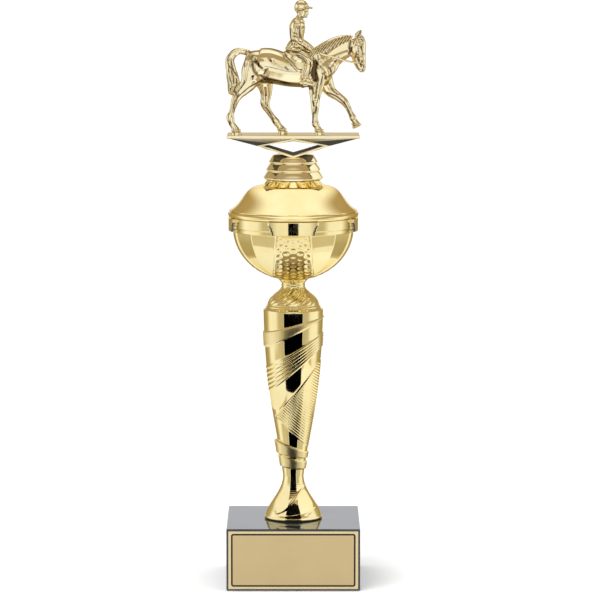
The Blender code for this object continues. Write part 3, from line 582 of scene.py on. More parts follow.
def lid_skin():
    """One run of (radius, height) rows from the boss's top over the dome, round the rim's bead
    and back up the inside; near the boss each radius swells and dips with the lobes."""
    angle = around(256)
    step = np.linspace(0, 1, 12)
    top = np.stack([0.0165 + 0.0006 * step, LID_TOP_Z - 0.0002 * step], axis=1)
    boss = np.stack([0.0176 + 0.0040 * step**1.9, LID_TOP_Z - 0.0003 - 0.0037 * step], axis=1)
    dome = dome_side(0.0, 70)[1:]
    turn = np.linspace(0.5 * math.pi, -0.45 * math.pi, 14)
    middle = (LID_RADIUS - 0.0017, LID_Z + 0.0021)
    bead = np.stack([middle[0] + 0.0017 * np.cos(turn), middle[1] + 0.0019 * np.sin(turn)], axis=1)
    bead = np.vstack([(LID_RADIUS - 0.0023, DOME_Z - 0.0001), bead])
    under = np.array([(LID_RADIUS - 0.0022, LID_Z), (BOWL_RADIUS - BOWL_WALL, LID_Z)])
    inside = np.vstack([(BOWL_RADIUS - BOWL_WALL, DOME_Z - 0.001), dome_side(LID_WALL, 16)[:-1][::-1]])
    rows = np.vstack([top, boss, dome, bead, under, inside])
    radius = rows[:, :1] + 0.0 * angle
    lobed = slice(len(top), len(top) + len(boss) + 6)
    fade = np.sin(np.linspace(0.15, 1.0, len(radius[lobed])) * math.pi)[:, None]
    radius[lobed] += 0.0015 * fade * (np.abs(np.cos(0.5 * BOSS_FLUTES * angle)) - 0.6)
    return spun("lid_skin", radius, rows[:, 1], angle, YELLOW_GOLD)


lid = lid_skin()
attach(lid, "root")
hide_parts("domed_lid")


# The collar, the bracket and the ground plate.
# They are one plastic moulding with the horse and rider, plated a paler gold: stepped rings stand
# on the lid, an open kite-shaped bracket rises from them, and a thin plate lies on top of it.
COLLAR_Z = LID_TOP_Z + 0.0003
COLLAR_HEIGHT = 0.0165
BRACKET_Z = COLLAR_Z + COLLAR_HEIGHT - 0.0017
GROUND_UNDER_Z = BRACKET_Z + 0.0134
GROUND_Z = GROUND_UNDER_Z + 0.0023
KITE_HALF = 0.0242
KITE_SIDE_Z = GROUND_UNDER_Z - 0.0050
UNIT = 0.0592 / 60
GROUND_HALF_LENGTH = 43.6 * UNIT + 0.0016
PALE_BRIGHT = (0.96, 0.87, 0.60, 1)
PALE_DEEP = (0.92, 0.80, 0.51, 1)
PALE_GOLD = gold_plating("pale_gold_plating", PALE_BRIGHT, PALE_DEEP, 0.05)


def collar_skin():
    """Three flared rings with a bead and a groove between them, spun round the axis."""
    top = COLLAR_Z + COLLAR_HEIGHT
    rows = [(0.0125, top), (0.0132, top - 0.0002)]
    lift = np.linspace(0.12, 1.0, 8)
    for ring in range(3):
        head = top - ring * 0.0055
        wide = 0.0134 + ring * 0.0019
        rows += [(wide + 0.0027 * t**0.9, head - 0.0041 * t**1.1) for t in lift]
        rows += [(wide + 0.0029, head - 0.0043), (wide + 0.0030, head - 0.0047)]
        rows += [(wide + 0.0027, head - 0.0050), (wide + 0.0019, head - 0.0052)]
        rows += [(wide + 0.0019, head - 0.0055)]
    rows += [(0.0188, COLLAR_Z)]
    radius, height = np.array(rows).T
    angle = around(128)
    return spun("collar_skin", radius[:, None] + 0.0 * angle, height, angle, PALE_GOLD)


def extruded(name, loops, depth, bevel):
    """A plate of one flat loop, or a frame of two of the same length, outer first, this deep along
    y. A frame is painted near black below the ground plate, as painted shade and dark reflection."""
    count = len(loops[0])
    flat = np.vstack(loops)
    points = np.vstack([np.insert(flat, 1, side * depth / 2, axis=1) for side in (-1, 1)])
    i = np.arange(count)
    k = (i + 1) % count
    second = len(flat)
    faces = [np.stack([i, k, k + second, i + second], axis=1)]
    if len(loops) == 2:
        a, b = count + i, count + k
        faces.append(np.stack([b, a, a + second, b + second], axis=1))
        faces.append(np.stack([k, i, a, b], axis=1))
        faces.append(np.stack([i, k, b, a], axis=1) + second)
    else:
        faces += [i[::-1][None], i[None] + second]
    # Painted shade and dark reflection: near black on the frame below the ground plate
    low = points[:, 2] < GROUND_UNDER_Z + 0.0001
    made = make_mesh(name, points, faces, PALE_GOLD, thin=low * (len(loops) == 2))
    made.data.shade_flat()
    edge = made.modifiers.new("eased_edges", "BEVEL")
    edge.width = bevel
    edge.segments = 3
    edge.harden_normals = True
    return made


def bracket_skin():
    """The kite's outer and window outlines, corner for corner, with gussets out to the ends."""
    top = GROUND_UNDER_Z + 0.0004
    half = GROUND_HALF_LENGTH - 0.0014
    outer = [(0, BRACKET_Z), (KITE_HALF, KITE_SIDE_Z), (half, GROUND_UNDER_Z), (half, top), (0, top)]
    outer += [(-half, top), (-half, GROUND_UNDER_Z), (-KITE_HALF, KITE_SIDE_Z)]
    hole = KITE_HALF - 0.0022 * 1.4
    right = [(hole, KITE_SIDE_Z), (hole * 0.62, KITE_SIDE_Z + 0.0016), (hole * 0.35, KITE_SIDE_Z + 0.0026)]
    left = [(-x, z) for x, z in right[::-1]]
    window = [(0, BRACKET_Z + 0.0024), *right, (0, GROUND_UNDER_Z - 0.0009), *left]
    return extruded("bracket_skin", [outer, window], 0.0284, 0.0002)


def kite_bars():
    """Round bars along the kite's four sides, at the bracket's front and back: at each corner the
    section turns with the frame, from its window edge to its outer edge."""
    side_z = KITE_SIDE_Z + 0.0002
    middle = [(0, BRACKET_Z + 0.0013), (0.0228, side_z), (0, GROUND_UNDER_Z - 0.0006), (-0.0228, side_z)]
    outward = np.array([(0, -1.0), (1.9, 0.0), (0, 0.9), (-1.9, 0.0)]) * 0.0011
    turn = np.linspace(0, 2 * math.pi, 20, endpoint=False)
    flat = np.array(middle)[:, None] + outward[:, None] * np.sin(turn)[None, :, None]
    bars = [
        np.insert(flat.reshape(-1, 2), 1, np.tile(side * 0.0144 + 0.0013 * np.cos(turn), 4), axis=1)
        for side in (-1, 1)
    ]
    quads = ring_quads(4, len(turn), closed=True)
    return make_mesh("bar_skin", np.vstack(bars), [quads, quads + 4 * len(turn)], PALE_GOLD)


collar = collar_skin()
bracket = bracket_skin()
bars = kite_bars()
ends = GROUND_HALF_LENGTH
sheet = [(-ends, GROUND_UNDER_Z), (ends, GROUND_UNDER_Z), (ends, GROUND_Z), (-ends, GROUND_Z)]
ground = extruded("ground_skin", [sheet], 0.032, 0.0005)
for piece in (collar, bracket, bars, ground):
    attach(piece, "root")


# The horse.
# Hollow-moulded in two halves and plated. It is drawn 60 units high at the withers: each form is an
# oval tube along a path, all are fused into one skin, and finer relief is drawn on with strokes.
STROKE_LIFT = 1.45


def smooth_path(stations, per_span):
    """Rows of numbers read from a Catmull-Rom curve through the stations."""
    rows = np.array(stations, float)
    rows = np.vstack([2 * rows[0] - rows[1], rows, 2 * rows[-1] - rows[-2]])
    t = np.linspace(0, 1, per_span, endpoint=False)[:, None]
    found = []
    for a, b, c, d in zip(rows, rows[1:], rows[2:], rows[3:]):
        cubic = 2 * b + (c - a) * t + (2 * a - 5 * b + 4 * c - d) * t**2
        found.append((cubic + (3 * b - a - 3 * c + d) * t**3) / 2)
    return np.vstack([*found, rows[-2:-1]])


def capped(rows, columns):
    """Faces of a tube of rings with flat ends."""
    end = np.arange(columns)
    return [ring_quads(rows, columns), end[::-1][None], end[None] + (rows - 1) * columns]


def loft(stations, per_span=6, sides=24):
    """Oval rings along the path: x, y, z, half width across and half thickness in its plane."""
    rows = smooth_path(stations, per_span)
    centre, across, thick = rows[:, :3], rows[:, 3], rows[:, 4]
    along = np.gradient(centre, axis=0)
    along /= np.linalg.norm(along, axis=1)[:, None]
    side = np.cross(along, (0.0, 1.0, 0.0))
    side /= np.linalg.norm(side, axis=1)[:, None]
    wide = np.cross(side, along)
    turn = np.linspace(0, 2 * math.pi, sides, endpoint=False)
    ring = (
        centre[:, None]
        + wide[:, None] * (across[:, None] * np.cos(turn))[:, :, None]
        + side[:, None] * (thick[:, None] * np.sin(turn))[:, :, None]
    )
    return ring.reshape(-1, 3), capped(len(rows), sides)


def patch(centre, radii, rows=14, columns=20):
    """An ellipsoid's points and faces, for a local swelling of a form."""
    down = np.linspace(0.02, math.pi - 0.02, rows)[:, None]
    turn = np.linspace(0, 2 * math.pi, columns, endpoint=False)
    ball = np.broadcast_arrays(np.sin(down) * np.cos(turn), np.sin(down) * np.sin(turn), np.cos(down))
    quads, *ends = (face[:, ::-1] for face in capped(rows, columns))
    return np.stack(ball, axis=2).reshape(-1, 3) * radii + centre, [np.roll(quads, 1, axis=1), *ends]


def both_sides(forms):
    """The forms and the same forms on the other side of the horse."""
    return [*forms, *([(x, -y, *rest) for x, y, *rest in form] for form in forms)]


def joined(shapes):
    """The points of all the shapes, and their groups of faces numbered on through them."""
    starts = np.cumsum([0] + [len(points) for points, faces in shapes])
    groups = [group + start for (points, faces), start in zip(shapes, starts) for group in faces]
    return np.vstack([points for points, faces in shapes]), groups


def fused(shapes, voxel, smoothing):
    """One skin round all the shapes, made on a fine grid and evened out: its points and faces in
    units, and its normals."""
    rough = plain_mesh("forms", *joined(shapes))
    skin = rough.modifiers.new("one_skin", "REMESH")
    skin.mode = "VOXEL"
    skin.voxel_size = voxel
    even = rough.modifiers.new("even_out", "SMOOTH")
    even.factor = 0.5
    even.iterations = smoothing
    bpy.context.view_layer.update()
    made = bpy.data.meshes.new_from_object(rough.evaluated_get(bpy.context.evaluated_depsgraph_get()))
    where = np.empty(len(made.vertices) * 3)
    made.vertices.foreach_get("co", where)
    lean = np.empty(len(made.vertices) * 3, np.float32)
    made.vertex_normals.foreach_get("vector", lean)
    corners = np.empty(len(made.loops), np.int32)
    made.loops.foreach_get("vertex_index", corners)
    forms = rough.data
    bpy.data.objects.remove(rough, do_unlink=True)
    bpy.data.meshes.remove(forms)
    bpy.data.meshes.remove(made)
    return where.reshape(-1, 3), corners.reshape(-1, 4), lean.reshape(-1, 3).astype(float)


def near_path(points, path, widths, reach=(0, 20)):
    """Which points lie near a path in the side view, within this range of |y|, and (1 - (d / w)^2)^2
    for each, where d is the distance to the path and w its half width there, start to end."""
    path = smooth_path(path, 5) if len(path) > 2 else np.array(path, float)
    low, high = path.min(axis=0) - max(widths), path.max(axis=0) + max(widths)
    x, side, z = points[:, 0], np.abs(points[:, 1]), points[:, 2]
    picked = (x > low[0]) & (x < high[0]) & (z > low[1]) & (z < high[1])
    found = np.flatnonzero(picked & (side >= reach[0]) & (side <= reach[1]))
    spot = points[found][:, (0, 2)]
    start, end = path[:-1], path[1:]
    way = end - start
    share = np.einsum("psk,sk->ps", spot[:, None] - start, way) / np.maximum((way**2).sum(axis=1), 1e-9)
    share = np.clip(share, 0, 1)
    gap = np.linalg.norm(spot[:, None] - start - share[:, :, None] * way, axis=2)
    pick = gap.argmin(axis=1)
    line = np.arange(len(found))
    run = (pick + share[line, pick]) / len(way)
    width = widths[0] + (widths[1] - widths[0]) * run
    return found, np.clip(1 - (gap[line, pick] / width) ** 2, 0, 1) ** 2


def drawn(points, lean, strokes, painted_shade_paths):
    """Moves the skin in or out along its normals by each stroke's height. Also returns the painted shade:
    brown painted into deep grooves, on faces that look down and along the painted shade paths, for
    shade and dark reflections. A stroke or painted shade path is a path, its half widths, its height or
    amount and, where it keeps to one, a range of |y|."""
    move = np.zeros(len(points))
    for path, widths, height, *reach in strokes:
        found, near = near_path(points, path, widths, *reach)
        move[found] += STROKE_LIFT * height * near
    # Painted shade, in brown: in deep grooves and on faces that look down
    tarnish = 0.85 * smooth_step(-move, 0.40, 1.25) + 0.9 * smooth_step(-lean[:, 2], 0.60, 0.90)
    # Painted shade and dark reflections, in brown, along the listed paths
    for path, widths, amount, *reach in painted_shade_paths:
        found, near = near_path(points, path, widths, *reach)
        tarnish[found] = np.maximum(tarnish[found], amount * near)
    return points + lean * move[:, None], np.clip(tarnish, 0, 0.95)


def creases(points, quads, lean):
    """How hollow the skin is at each point: how far the mean of its neighbours stands out along
    the normal, evened out over the neighbours three times."""
    pairs = np.vstack([quads[:, (0, 1)], quads[:, (1, 2)], quads[:, (2, 3)], quads[:, (3, 0)]])
    first = np.concatenate([pairs[:, 0], pairs[:, 1]])
    second = np.concatenate([pairs[:, 1], pairs[:, 0]])
    count = np.bincount(first, minlength=len(points))
    mean = [np.bincount(first, points[second, axis], len(points)) / count for axis in range(3)]
    hollow = np.einsum("ij,ij->i", np.stack(mean, axis=1) - points, lean)
    for _ in range(3):
        hollow = 0.5 * hollow + 0.5 * np.bincount(first, hollow[second], len(points)) / count
    return hollow


def figure_skin(name, shapes, voxel, smoothing, strokes, painted_shade_paths):
    """The fused shapes with their relief, with brown painted shade in every hollow, on the ground plate."""
    points, quads, lean = fused(shapes, voxel, smoothing)
    points, tarnish = drawn(points, lean, strokes, painted_shade_paths)
    # Painted shade, in brown, in every crease
    hollow = smooth_step(creases(points, quads, lean), 0.013, 0.044)
    points = points * UNIT + (0, 0, GROUND_Z)
    return make_mesh(name, points, [quads], PALE_GOLD, tarnish=np.maximum(tarnish, 0.92 * hollow))


HORSE_BODY = [
    (-33.5, 0, 49.5, 4.6, 5.4), (-30, 0, 48.6, 7.6, 8.8), (-24, 0, 46.8, 9.4, 11.6),
    (-17, 0, 46.8, 9.8, 12.1), (-10, 0, 45.2, 10.1, 11.6), (-3, 0, 43.4, 10.4, 11.0),
    (5, 0, 43.4, 10.2, 11.6), (12, 0, 44.6, 9.2, 13.2), (19, 0, 44.4, 8.4, 13.4),
    (24, 0, 42.6, 7.0, 10.6), (27, 0, 41.4, 5.0, 7.0),
]
HORSE_NECK = [
    (14, 0, 44.5, 7.2, 11.0), (20.2, 0, 49.6, 6.0, 11.4), (25.0, 0, 54.2, 4.7, 9.9),
    (30.6, 0, 57.9, 4.0, 8.9), (35.8, 0, 59.9, 3.6, 8.0), (41.0, 0, 60.9, 3.2, 6.2),
]
HORSE_HEAD = [
    (44.6, 0, 67.6, 1.6, 1.9), (45.0, 0, 65.2, 2.7, 3.8), (44.7, 0, 61.8, 3.5, 5.2),
    (44.1, 0, 57.6, 3.8, 5.5), (44.6, 0, 53.4, 3.2, 5.0), (45.4, 0, 49.8, 2.6, 4.4),
    (46.2, 0, 46.4, 2.5, 3.7), (46.9, 0, 43.8, 2.2, 2.6), (47.0, 0, 42.2, 1.3, 1.5),
]
EAR = [
    (43.2, -1.7, 65.4, 1.3, 1.8), (44.5, -2.1, 68.0, 1.2, 2.0), (45.6, -2.3, 69.8, 0.8, 1.3),
    (46.4, -2.4, 71.0, 0.4, 0.5),
]
HIND_BACK = [
    (-25.5, -4.6, 49, 4.6, 8.0), (-27.5, -5.2, 42, 5.0, 8.2), (-30.2, -5.8, 35.6, 4.0, 6.0),
    (-34.2, -6.0, 30.6, 2.9, 4.3), (-37.2, -6.0, 27.2, 2.4, 3.3), (-39.5, -6.0, 23.8, 2.2, 2.9),
    (-40.9, -6.0, 19.4, 1.7, 2.2), (-42.2, -6.0, 15.0, 1.6, 2.0), (-43.0, -6.0, 11.4, 2.0, 2.8),
    (-41.9, -6.0, 7.4, 1.7, 2.1), (-40.0, -6.0, 4.4, 2.1, 2.4), (-39.2, -6.0, 2.2, 2.7, 3.1),
    (-38.6, -6.0, -0.6, 3.1, 3.7),
]
HIND_FRONT = [
    (-23, 4.6, 47, 4.6, 8.0), (-20.6, 5.2, 38, 4.4, 7.0), (-18.8, 5.6, 30, 3.2, 4.6),
    (-18.8, 5.8, 25.2, 2.4, 3.6), (-19.4, 5.8, 20.0, 2.2, 3.1), (-17.0, 5.8, 15.2, 1.7, 2.2),
    (-14.2, 5.8, 11.2, 1.6, 2.0), (-11.8, 5.8, 8.0, 2.0, 2.5), (-9.6, 5.8, 5.0, 1.8, 2.1),
    (-8.0, 5.8, 2.4, 2.6, 2.9), (-7.0, 5.8, -0.6, 3.1, 3.6),
]
FORE_PLANTED = [
    (17.5, -4.2, 46, 4.2, 7.0), (16.0, -5.0, 36, 3.8, 5.8), (15.2, -5.4, 29.5, 3.0, 4.6),
    (14.9, -5.6, 24.0, 2.4, 3.3), (14.9, -5.6, 18.0, 2.2, 2.8), (14.8, -5.6, 13.4, 1.6, 2.1),
    (14.9, -5.6, 10.0, 1.6, 2.0), (15.2, -5.6, 7.4, 2.0, 2.6), (16.6, -5.6, 4.6, 1.8, 2.1),
    (17.5, -5.6, 2.2, 2.6, 3.0), (18.3, -5.6, -0.6, 3.1, 3.7),
]
FORE_RAISED = [
    (19.5, 4.2, 42, 4.0, 6.6), (22.5, 4.8, 34, 3.6, 5.4), (25.6, 5.2, 29, 2.9, 4.0),
    (30.2, 5.4, 25.6, 2.4, 3.1), (35.1, 5.4, 21.6, 2.2, 2.7), (37.7, 5.4, 17.4, 1.6, 2.0),
    (39.4, 5.4, 13.8, 1.6, 1.9), (40.8, 5.4, 11.0, 2.0, 2.4), (42.0, 5.4, 8.8, 1.7, 2.0),
    (42.8, 5.4, 6.8, 2.4, 2.7), (43.8, 5.4, 4.2, 2.8, 3.2),
]
TAIL = [
    (-30.0, 0, 55.4, 1.8, 1.8), (-35.0, 0, 56.4, 1.9, 1.7), (-40.4, 0, 55.6, 2.2, 2.3),
    (-42.9, 0, 51.4, 2.6, 2.7), (-43.0, 0, 46.0, 2.8, 3.2), (-41.8, 0, 40.0, 3.0, 4.2),
    (-40.9, 0, 34.6, 3.0, 4.4), (-41.6, 0, 30.0, 2.4, 3.6), (-43.2, 0, 27.0, 1.2, 1.6),
]
SADDLE = [
    (-6.4, 0, 55.0, 4.2, 3.4), (-1.0, 0, 52.6, 8.8, 4.4), (5.0, 0, 51.4, 9.8, 5.8),
    (10.4, 0, 52.4, 8.6, 6.6), (12.6, 0, 55.6, 4.0, 4.6),
]
SADDLE_FLAP = [(-6.6, 54.2), (-1.6, 48.8), (2.6, 44.6), (8.0, 43.6), (12.0, 47.4), (12.6, 53.0)]


def horse_relief():
    """Muscle, mane, face, tack, hair and hooves, as strokes in the side view."""
    strokes = [
        # Shoulder, breast, elbow and barrel
        ([(12, 55), (16, 48), (21, 42), (22.5, 38)], (2.4, 1.6), -0.55),
        ([(21.5, 45), (23.5, 41.5)], (4.4, 4.0), 1.0),
        ([(14.4, 47.5), (13.8, 43), (14.6, 38.4)], (3.2, 2.8), -1.0, (3, 20)),
        ([(10.6, 47), (10.2, 41), (11.4, 36.5)], (1.6, 1.2), 0.35, (4, 20)),
        ([(27, 47), (25.4, 44), (24.4, 40)], (1.3, 0.8), -0.4),
        # Haunch, stifle and flank
        ([(-26.2, 52), (-27.4, 47), (-25.5, 42), (-20.5, 39.4)], (1.8, 1.5), -0.6, (2, 20)),
        ([(-22, 49), (-22.4, 44)], (3.0, 2.6), 0.40, (2, 20)),
        ([(-18.2, 44), (-18.8, 39), (-22, 35)], (2.0, 1.3), -0.45, (2, 20)),
        ([(-15.5, 53), (-13.5, 49)], (2.6, 2.0), -0.25, (2, 20)),
        ([(-31, 50), (-32.4, 43), (-33.2, 37)], (1.5, 1.0), -0.4),
        ([(-26.4, 36), (-30.5, 31.6), (-36, 27.2)], (1.3, 0.9), -0.35, (3, 20)),
        # Neck muscle and throat
        ([(22.5, 55.8), (30, 61.0), (38, 64.8)], (1.7, 1.3), -0.45),
        ([(23, 50.5), (30, 53.5), (37, 56.2)], (2.4, 1.6), -0.45),
        ([(39.2, 63.5), (38.6, 59.5), (39.6, 56.6)], (1.5, 1.2), -0.7),
        # Head: cheek, cheekbone, eye, nostril and lips
        ([(42.6, 59.6), (41.6, 57.0), (42.6, 54.4)], (2.3, 1.8), 0.40),
        ([(44.6, 59.6), (46.0, 55.0), (46.6, 51.0)], (0.9, 0.6), 0.40),
        ([(43.6, 53.8), (44.8, 50.0)], (1.5, 1.2), -0.45),
        ([(46.0, 62.9), (46.9, 61.9)], (1.6, 1.5), -0.35, (1.0, 9)),
        ([(46.1, 62.8), (46.8, 62.1)], (0.8, 0.8), 0.75, (1.0, 9)),
        ([(45.2, 63.7), (46.4, 63.9), (47.5, 62.7)], (0.5, 0.4), 0.35, (1.0, 9)),
        ([(48.2, 46.8), (48.4, 45.8)], (0.9, 0.8), -0.75, (0.5, 9)),
        ([(47.3, 47.4), (47.7, 45.2)], (0.6, 0.5), 0.30, (0.5, 9)),
        ([(48.8, 43.3), (46.6, 43.9), (45.2, 44.9)], (0.5, 0.4), -0.40),
        # Ears: a hollow down the front of each
        ([(44.4, 66.8), (45.9, 69.8)], (0.6, 0.3), -0.30, (2.3, 9)),
        # Knees, hocks and fetlocks
        ([(15.0, 20.6), (15.0, 18.0)], (2.0, 1.6), 0.30, (2, 9)),
        ([(14.9, 16.4), (14.8, 8.8)], (0.8, 0.8), -0.25, (2, 9)),
        ([(-38.9, 24.8), (-40.4, 20.6)], (1.4, 1.1), 0.35, (2, 9)),
        ([(-40.8, 20.4), (-42.0, 12.2)], (0.8, 0.7), -0.30, (2, 9)),
        ([(16.8, 37), (15.8, 31), (15.2, 25)], (1.2, 0.9), -0.45, (2, 9)),
        ([(13.2, 34), (13.4, 28)], (1.1, 0.9), 0.40, (2, 9)),
        ([(24.4, 32.6), (30.6, 27.2)], (1.0, 0.8), -0.35, (2, 9)),
        ([(35.2, 21.8), (38.0, 16.4), (40.0, 12.4)], (0.7, 0.6), -0.30, (2, 9)),
        ([(-19.4, 33), (-18.6, 26)], (1.3, 1.0), -0.40, (2, 9)),
        ([(-18.6, 17.8), (-13.4, 10.4)], (0.7, 0.6), -0.30, (2, 9)),
        ([(-20.4, 22.6), (-19.0, 18.2)], (1.2, 1.0), 0.35, (2, 9)),
        ([(-37.6, 27.4), (-38.8, 24.4)], (1.0, 0.8), -0.35, (2, 9)),
    ]
    # Coronets and hoof walls, and the tuft behind each fetlock
    for x, z, lean in ((-39.2, 3.0, 0.3), (-7.8, 3.2, 0.5), (17.4, 3.2, 0.4), (43.0, 6.6, 0.8)):
        for drop, width, height in ((0.9, 0.55, 0.38), (2.0, 0.45, -0.22)):
            line = [(x - 3.4, z - drop + lean), (x + 3.6, z - drop + 1.4 - lean)]
            strokes.append((line, (width, width), height))
    # Mane: locks that leave the crest and sweep down and back
    for lock in range(12):
        share = lock / 11
        x = 16.6 + 25.0 * share
        z = 58.8 + 11.0 * share - 1.2 * share**3
        foot = (x - 5.4 + 1.2 * share, z - 6.6 + 1.2 * share)
        strokes.append(([(x, z), (x - 2.4, z - 2.9), foot], (0.68, 0.36), 0.62))
        strokes.append(([(x - 1.1, z), (x - 3.2, z - 3.0), foot], (0.34, 0.20), -0.36))
    # Forelock
    for shift in (-0.5, 0.5):
        lock = [(45.4, 67.4 + shift), (47.2, 65.0 + shift), (48.2, 62.6 + shift)]
        strokes.append((lock, (0.7, 0.4), 0.4, (0, 2.2)))
    # Tail: strands that run its length in slow waves
    for lane, wave in ((-1.0, 0.3), (-0.4, -0.5), (0.25, 0.4), (0.95, -0.4)):
        strand = [(-31 + 0.3 * lane, 55.6 + 1.0 * lane), (-38 - 0.8 * lane, 56.6 + 1.2 * lane)]
        strand += [(-43.0 - 1.7 * lane, 52.0 + 0.8 * lane), (-43.0 - 2.2 * lane + wave, 46.0)]
        strand += [(-41.6 - 3.0 * lane - wave, 40.0), (-40.8 - 3.1 * lane + wave, 34.0)]
        strand += [(-42.0 - 1.8 * lane, 28.6)]
        strokes.append((strand, (1.15, 0.95), 0.62))
        strokes.append(([(x - 0.95, z) for x, z in strand], (0.40, 0.36), -0.34))
    # Saddle: pad, flap, skirt and girth
    strokes += [
        (SADDLE_FLAP, (0.8, 0.8), 0.55, (5, 20)),
        ([(-5.6, 56.2), (-0.5, 53.6), (5.0, 53.0)], (0.6, 0.6), 0.4, (3, 20)),
        ([(6.4, 43.6), (6.2, 38.0), (6.6, 31.4)], (1.6, 1.6), 0.40),
    ]
    # Bridle: crown strap, brow band, cheek strap, nose band and throat lash
    strokes += [
        ([(42.6, 68.4), (43.6, 65.4), (44.2, 62.0), (45.0, 56.0), (46.2, 48.2)], (0.50, 0.50), 0.42),
        ([(43.4, 65.0), (46.4, 65.4), (48.4, 64.8)], (0.50, 0.50), 0.42),
        ([(42.2, 53.2), (45.4, 53.6), (49.0, 54.8)], (0.55, 0.55), 0.45),
        ([(43.6, 65.0), (41.2, 60.6), (40.6, 56.6)], (0.42, 0.42), 0.35),
        ([(43.8, 48.2), (46.2, 48.0), (48.8, 49.6)], (0.40, 0.40), 0.30),
        ([(46.2, 48.1), (46.3, 48.3)], (0.9, 0.9), 0.5, (1.2, 9)),
    ]
    return strokes


# Painted shade and painted dark reflections, in brown: hollows, undersides and the edges between muscles
SIDE_PAINTED_SHADE = [
    # Breast: a brown oval before the shoulder and the far edge of the breast
    ([(14.8, 48.8), (13.6, 43.5), (15.3, 38.0)], (3.7, 3.2), 2.0),
    ([(24.2, 45.9), (26.0, 42.5), (23.6, 39.7)], (1.4, 1.0), 0.8),
    # Haunch and flank
    ([(-25.1, 49.7), (-23.7, 47.6), (-21.2, 45.4)], (1.7, 1.1), 1.7),
    ([(-27.6, 48.6), (-27.3, 44.5), (-24.0, 41.1)], (0.7, 0.6), 1.3),
    ([(-18.5, 44.7), (-18.9, 42.8), (-20.3, 41.4)], (1.0, 0.7), 1.4),
    ([(-27.3, 40.1), (-27.7, 37.9)], (1.0, 0.8), 1.4),
    ([(-15.5, 50.8), (-14.9, 50.0)], (1.1, 1.0), 1.4), ([(-5.3, 45.9), (-3.6, 44.3)], (1.4, 1.2), 0.9),
    ([(-12.5, 48.6), (-7.7, 45.9), (-0.9, 44.0)], (1.8, 1.2), 0.35),
    ([(-28.6, 56.0), (-28.0, 52.0), (-29.0, 47.4)], (3.4, 2.2), 0.50),
    # Thigh and hind legs
    ([(-19.6, 38.2), (-26.1, 34.6), (-32.6, 30.5), (-39.8, 22.7), (-40.3, 14.9)], (0.75, 0.55), 1.2),
    ([(-42.5, 23.7), (-44.4, 16.9), (-45.8, 11.8)], (0.6, 0.6), 0.8),
    ([(-43.2, 8.7), (-43.5, 5.0)], (0.9, 0.9), 1.2),
    ([(-22.2, 28.5), (-22.4, 21.7), (-21.3, 19.0)], (0.9, 0.7), 1.2),
    ([(-19.2, 27.1), (-18.6, 20.3)], (0.5, 0.4), 1.1),
    ([(-18.6, 17.6), (-15.2, 12.8), (-13.2, 7.4)], (1.0, 0.9), 1.1),
    ([(-24.7, 33.3), (-18.6, 35.6), (-15.2, 35.0)], (0.8, 0.8), 1.1),
    # Planted foreleg
    ([(13.1, 32.6), (13.8, 27.8)], (1.0, 0.8), 1.3), ([(17.4, 26.8), (17.7, 24.1)], (0.7, 0.6), 1.1),
    ([(13.6, 22.7), (14.0, 19.6)], (1.0, 0.9), 1.3), ([(15.8, 18.8), (14.9, 14.9)], (1.0, 0.9), 1.5),
    ([(13.7, 14.9), (13.3, 8.0)], (0.9, 0.7), 1.2), ([(17.3, 12.1), (17.0, 9.1)], (0.6, 0.5), 1.1),
]
HORSE_PAINTED_SHADE = [(*shade_path, (2, 20)) for shade_path in SIDE_PAINTED_SHADE]
HORSE_PAINTED_SHADE += [
    # Back and belly
    ([(-30.2, 57.1), (-23.3, 59.2), (-14.5, 58.3), (-5.0, 55.8)], (1.1, 1.1), 0.55),
    ([(-19.3, 38.0), (-14.5, 37.0), (-7.7, 35.4), (1.8, 33.3), (12.1, 32.0)], (2.1, 1.9), 2.4),
    # Planted foreleg
    ([(12.8, 6.5), (15.5, 5.3)], (0.7, 0.6), 1.1),
    # Raised foreleg
    ([(23.3, 28.2), (29.8, 25.4), (35.9, 19.6), (39.4, 11.5)], (1.0, 0.8), 1.3),
    ([(39.0, 18.3), (43.5, 11.8)], (0.6, 0.5), 0.9), ([(40.0, 9.4), (42.1, 6.7)], (0.7, 0.6), 1.0),
    # Tail
    ([(-40.4, 57.6), (-43.4, 54.4), (-44.5, 49.6)], (0.9, 0.7), 0.6),
    ([(-43.8, 46.5), (-41.4, 43.8), (-39.0, 39.7)], (0.7, 0.6), 1.2),
    ([(-32.2, 56.4), (-33.4, 51.6), (-33.2, 46.2)], (0.9, 0.7), 0.9),
    ([(-44.5, 39.4), (-43.8, 33.3), (-44.1, 29.2)], (0.6, 0.6), 0.8),
    ([(-39.7, 46.2), (-37.0, 39.4), (-35.6, 35.3)], (0.5, 0.5), 0.8),
    ([(-39.7, 29.9), (-38.4, 26.5)], (1.2, 1.0), 0.9),
    # Ears
    ([(44.0, 66.8), (45.6, 69.0), (46.4, 71.0)], (1.5, 1.2), 0.75),
    # Throat, cheek and muzzle
    ([(39.9, 59.1), (37.9, 55.0)], (1.1, 0.9), 1.3), ([(43.0, 56.1), (42.3, 52.0)], (0.7, 0.6), 1.2),
    ([(45.8, 47.9), (46.8, 47.4)], (1.0, 0.9), 1.3), ([(42.7, 48.2), (45.1, 44.0)], (0.7, 0.6), 0.9),
    ([(46.8, 57.8), (47.4, 54.4)], (0.6, 0.5), 0.8), ([(31.0, 52.5), (25.3, 45.5)], (0.6, 0.5), 0.9),
]
HORSE_SWELLINGS = [
    ((41.8, 0, 57.4), (2.6, 3.7, 3.4)), ((46.9, 0, 45.6), (2.1, 2.5, 2.4)),
    ((14.2, -6.2, 52), (4.5, 2.4, 6.0)), ((14.2, 6.2, 52), (4.5, 2.4, 6.0)),
    ((22.6, -3.6, 43.2), (4.0, 4.4, 5.4)), ((22.6, 3.6, 43.2), (4.0, 4.4, 5.4)),
]
HORSE_FORMS = [HORSE_BODY, HORSE_NECK, HORSE_HEAD, TAIL, SADDLE, *both_sides([EAR])]
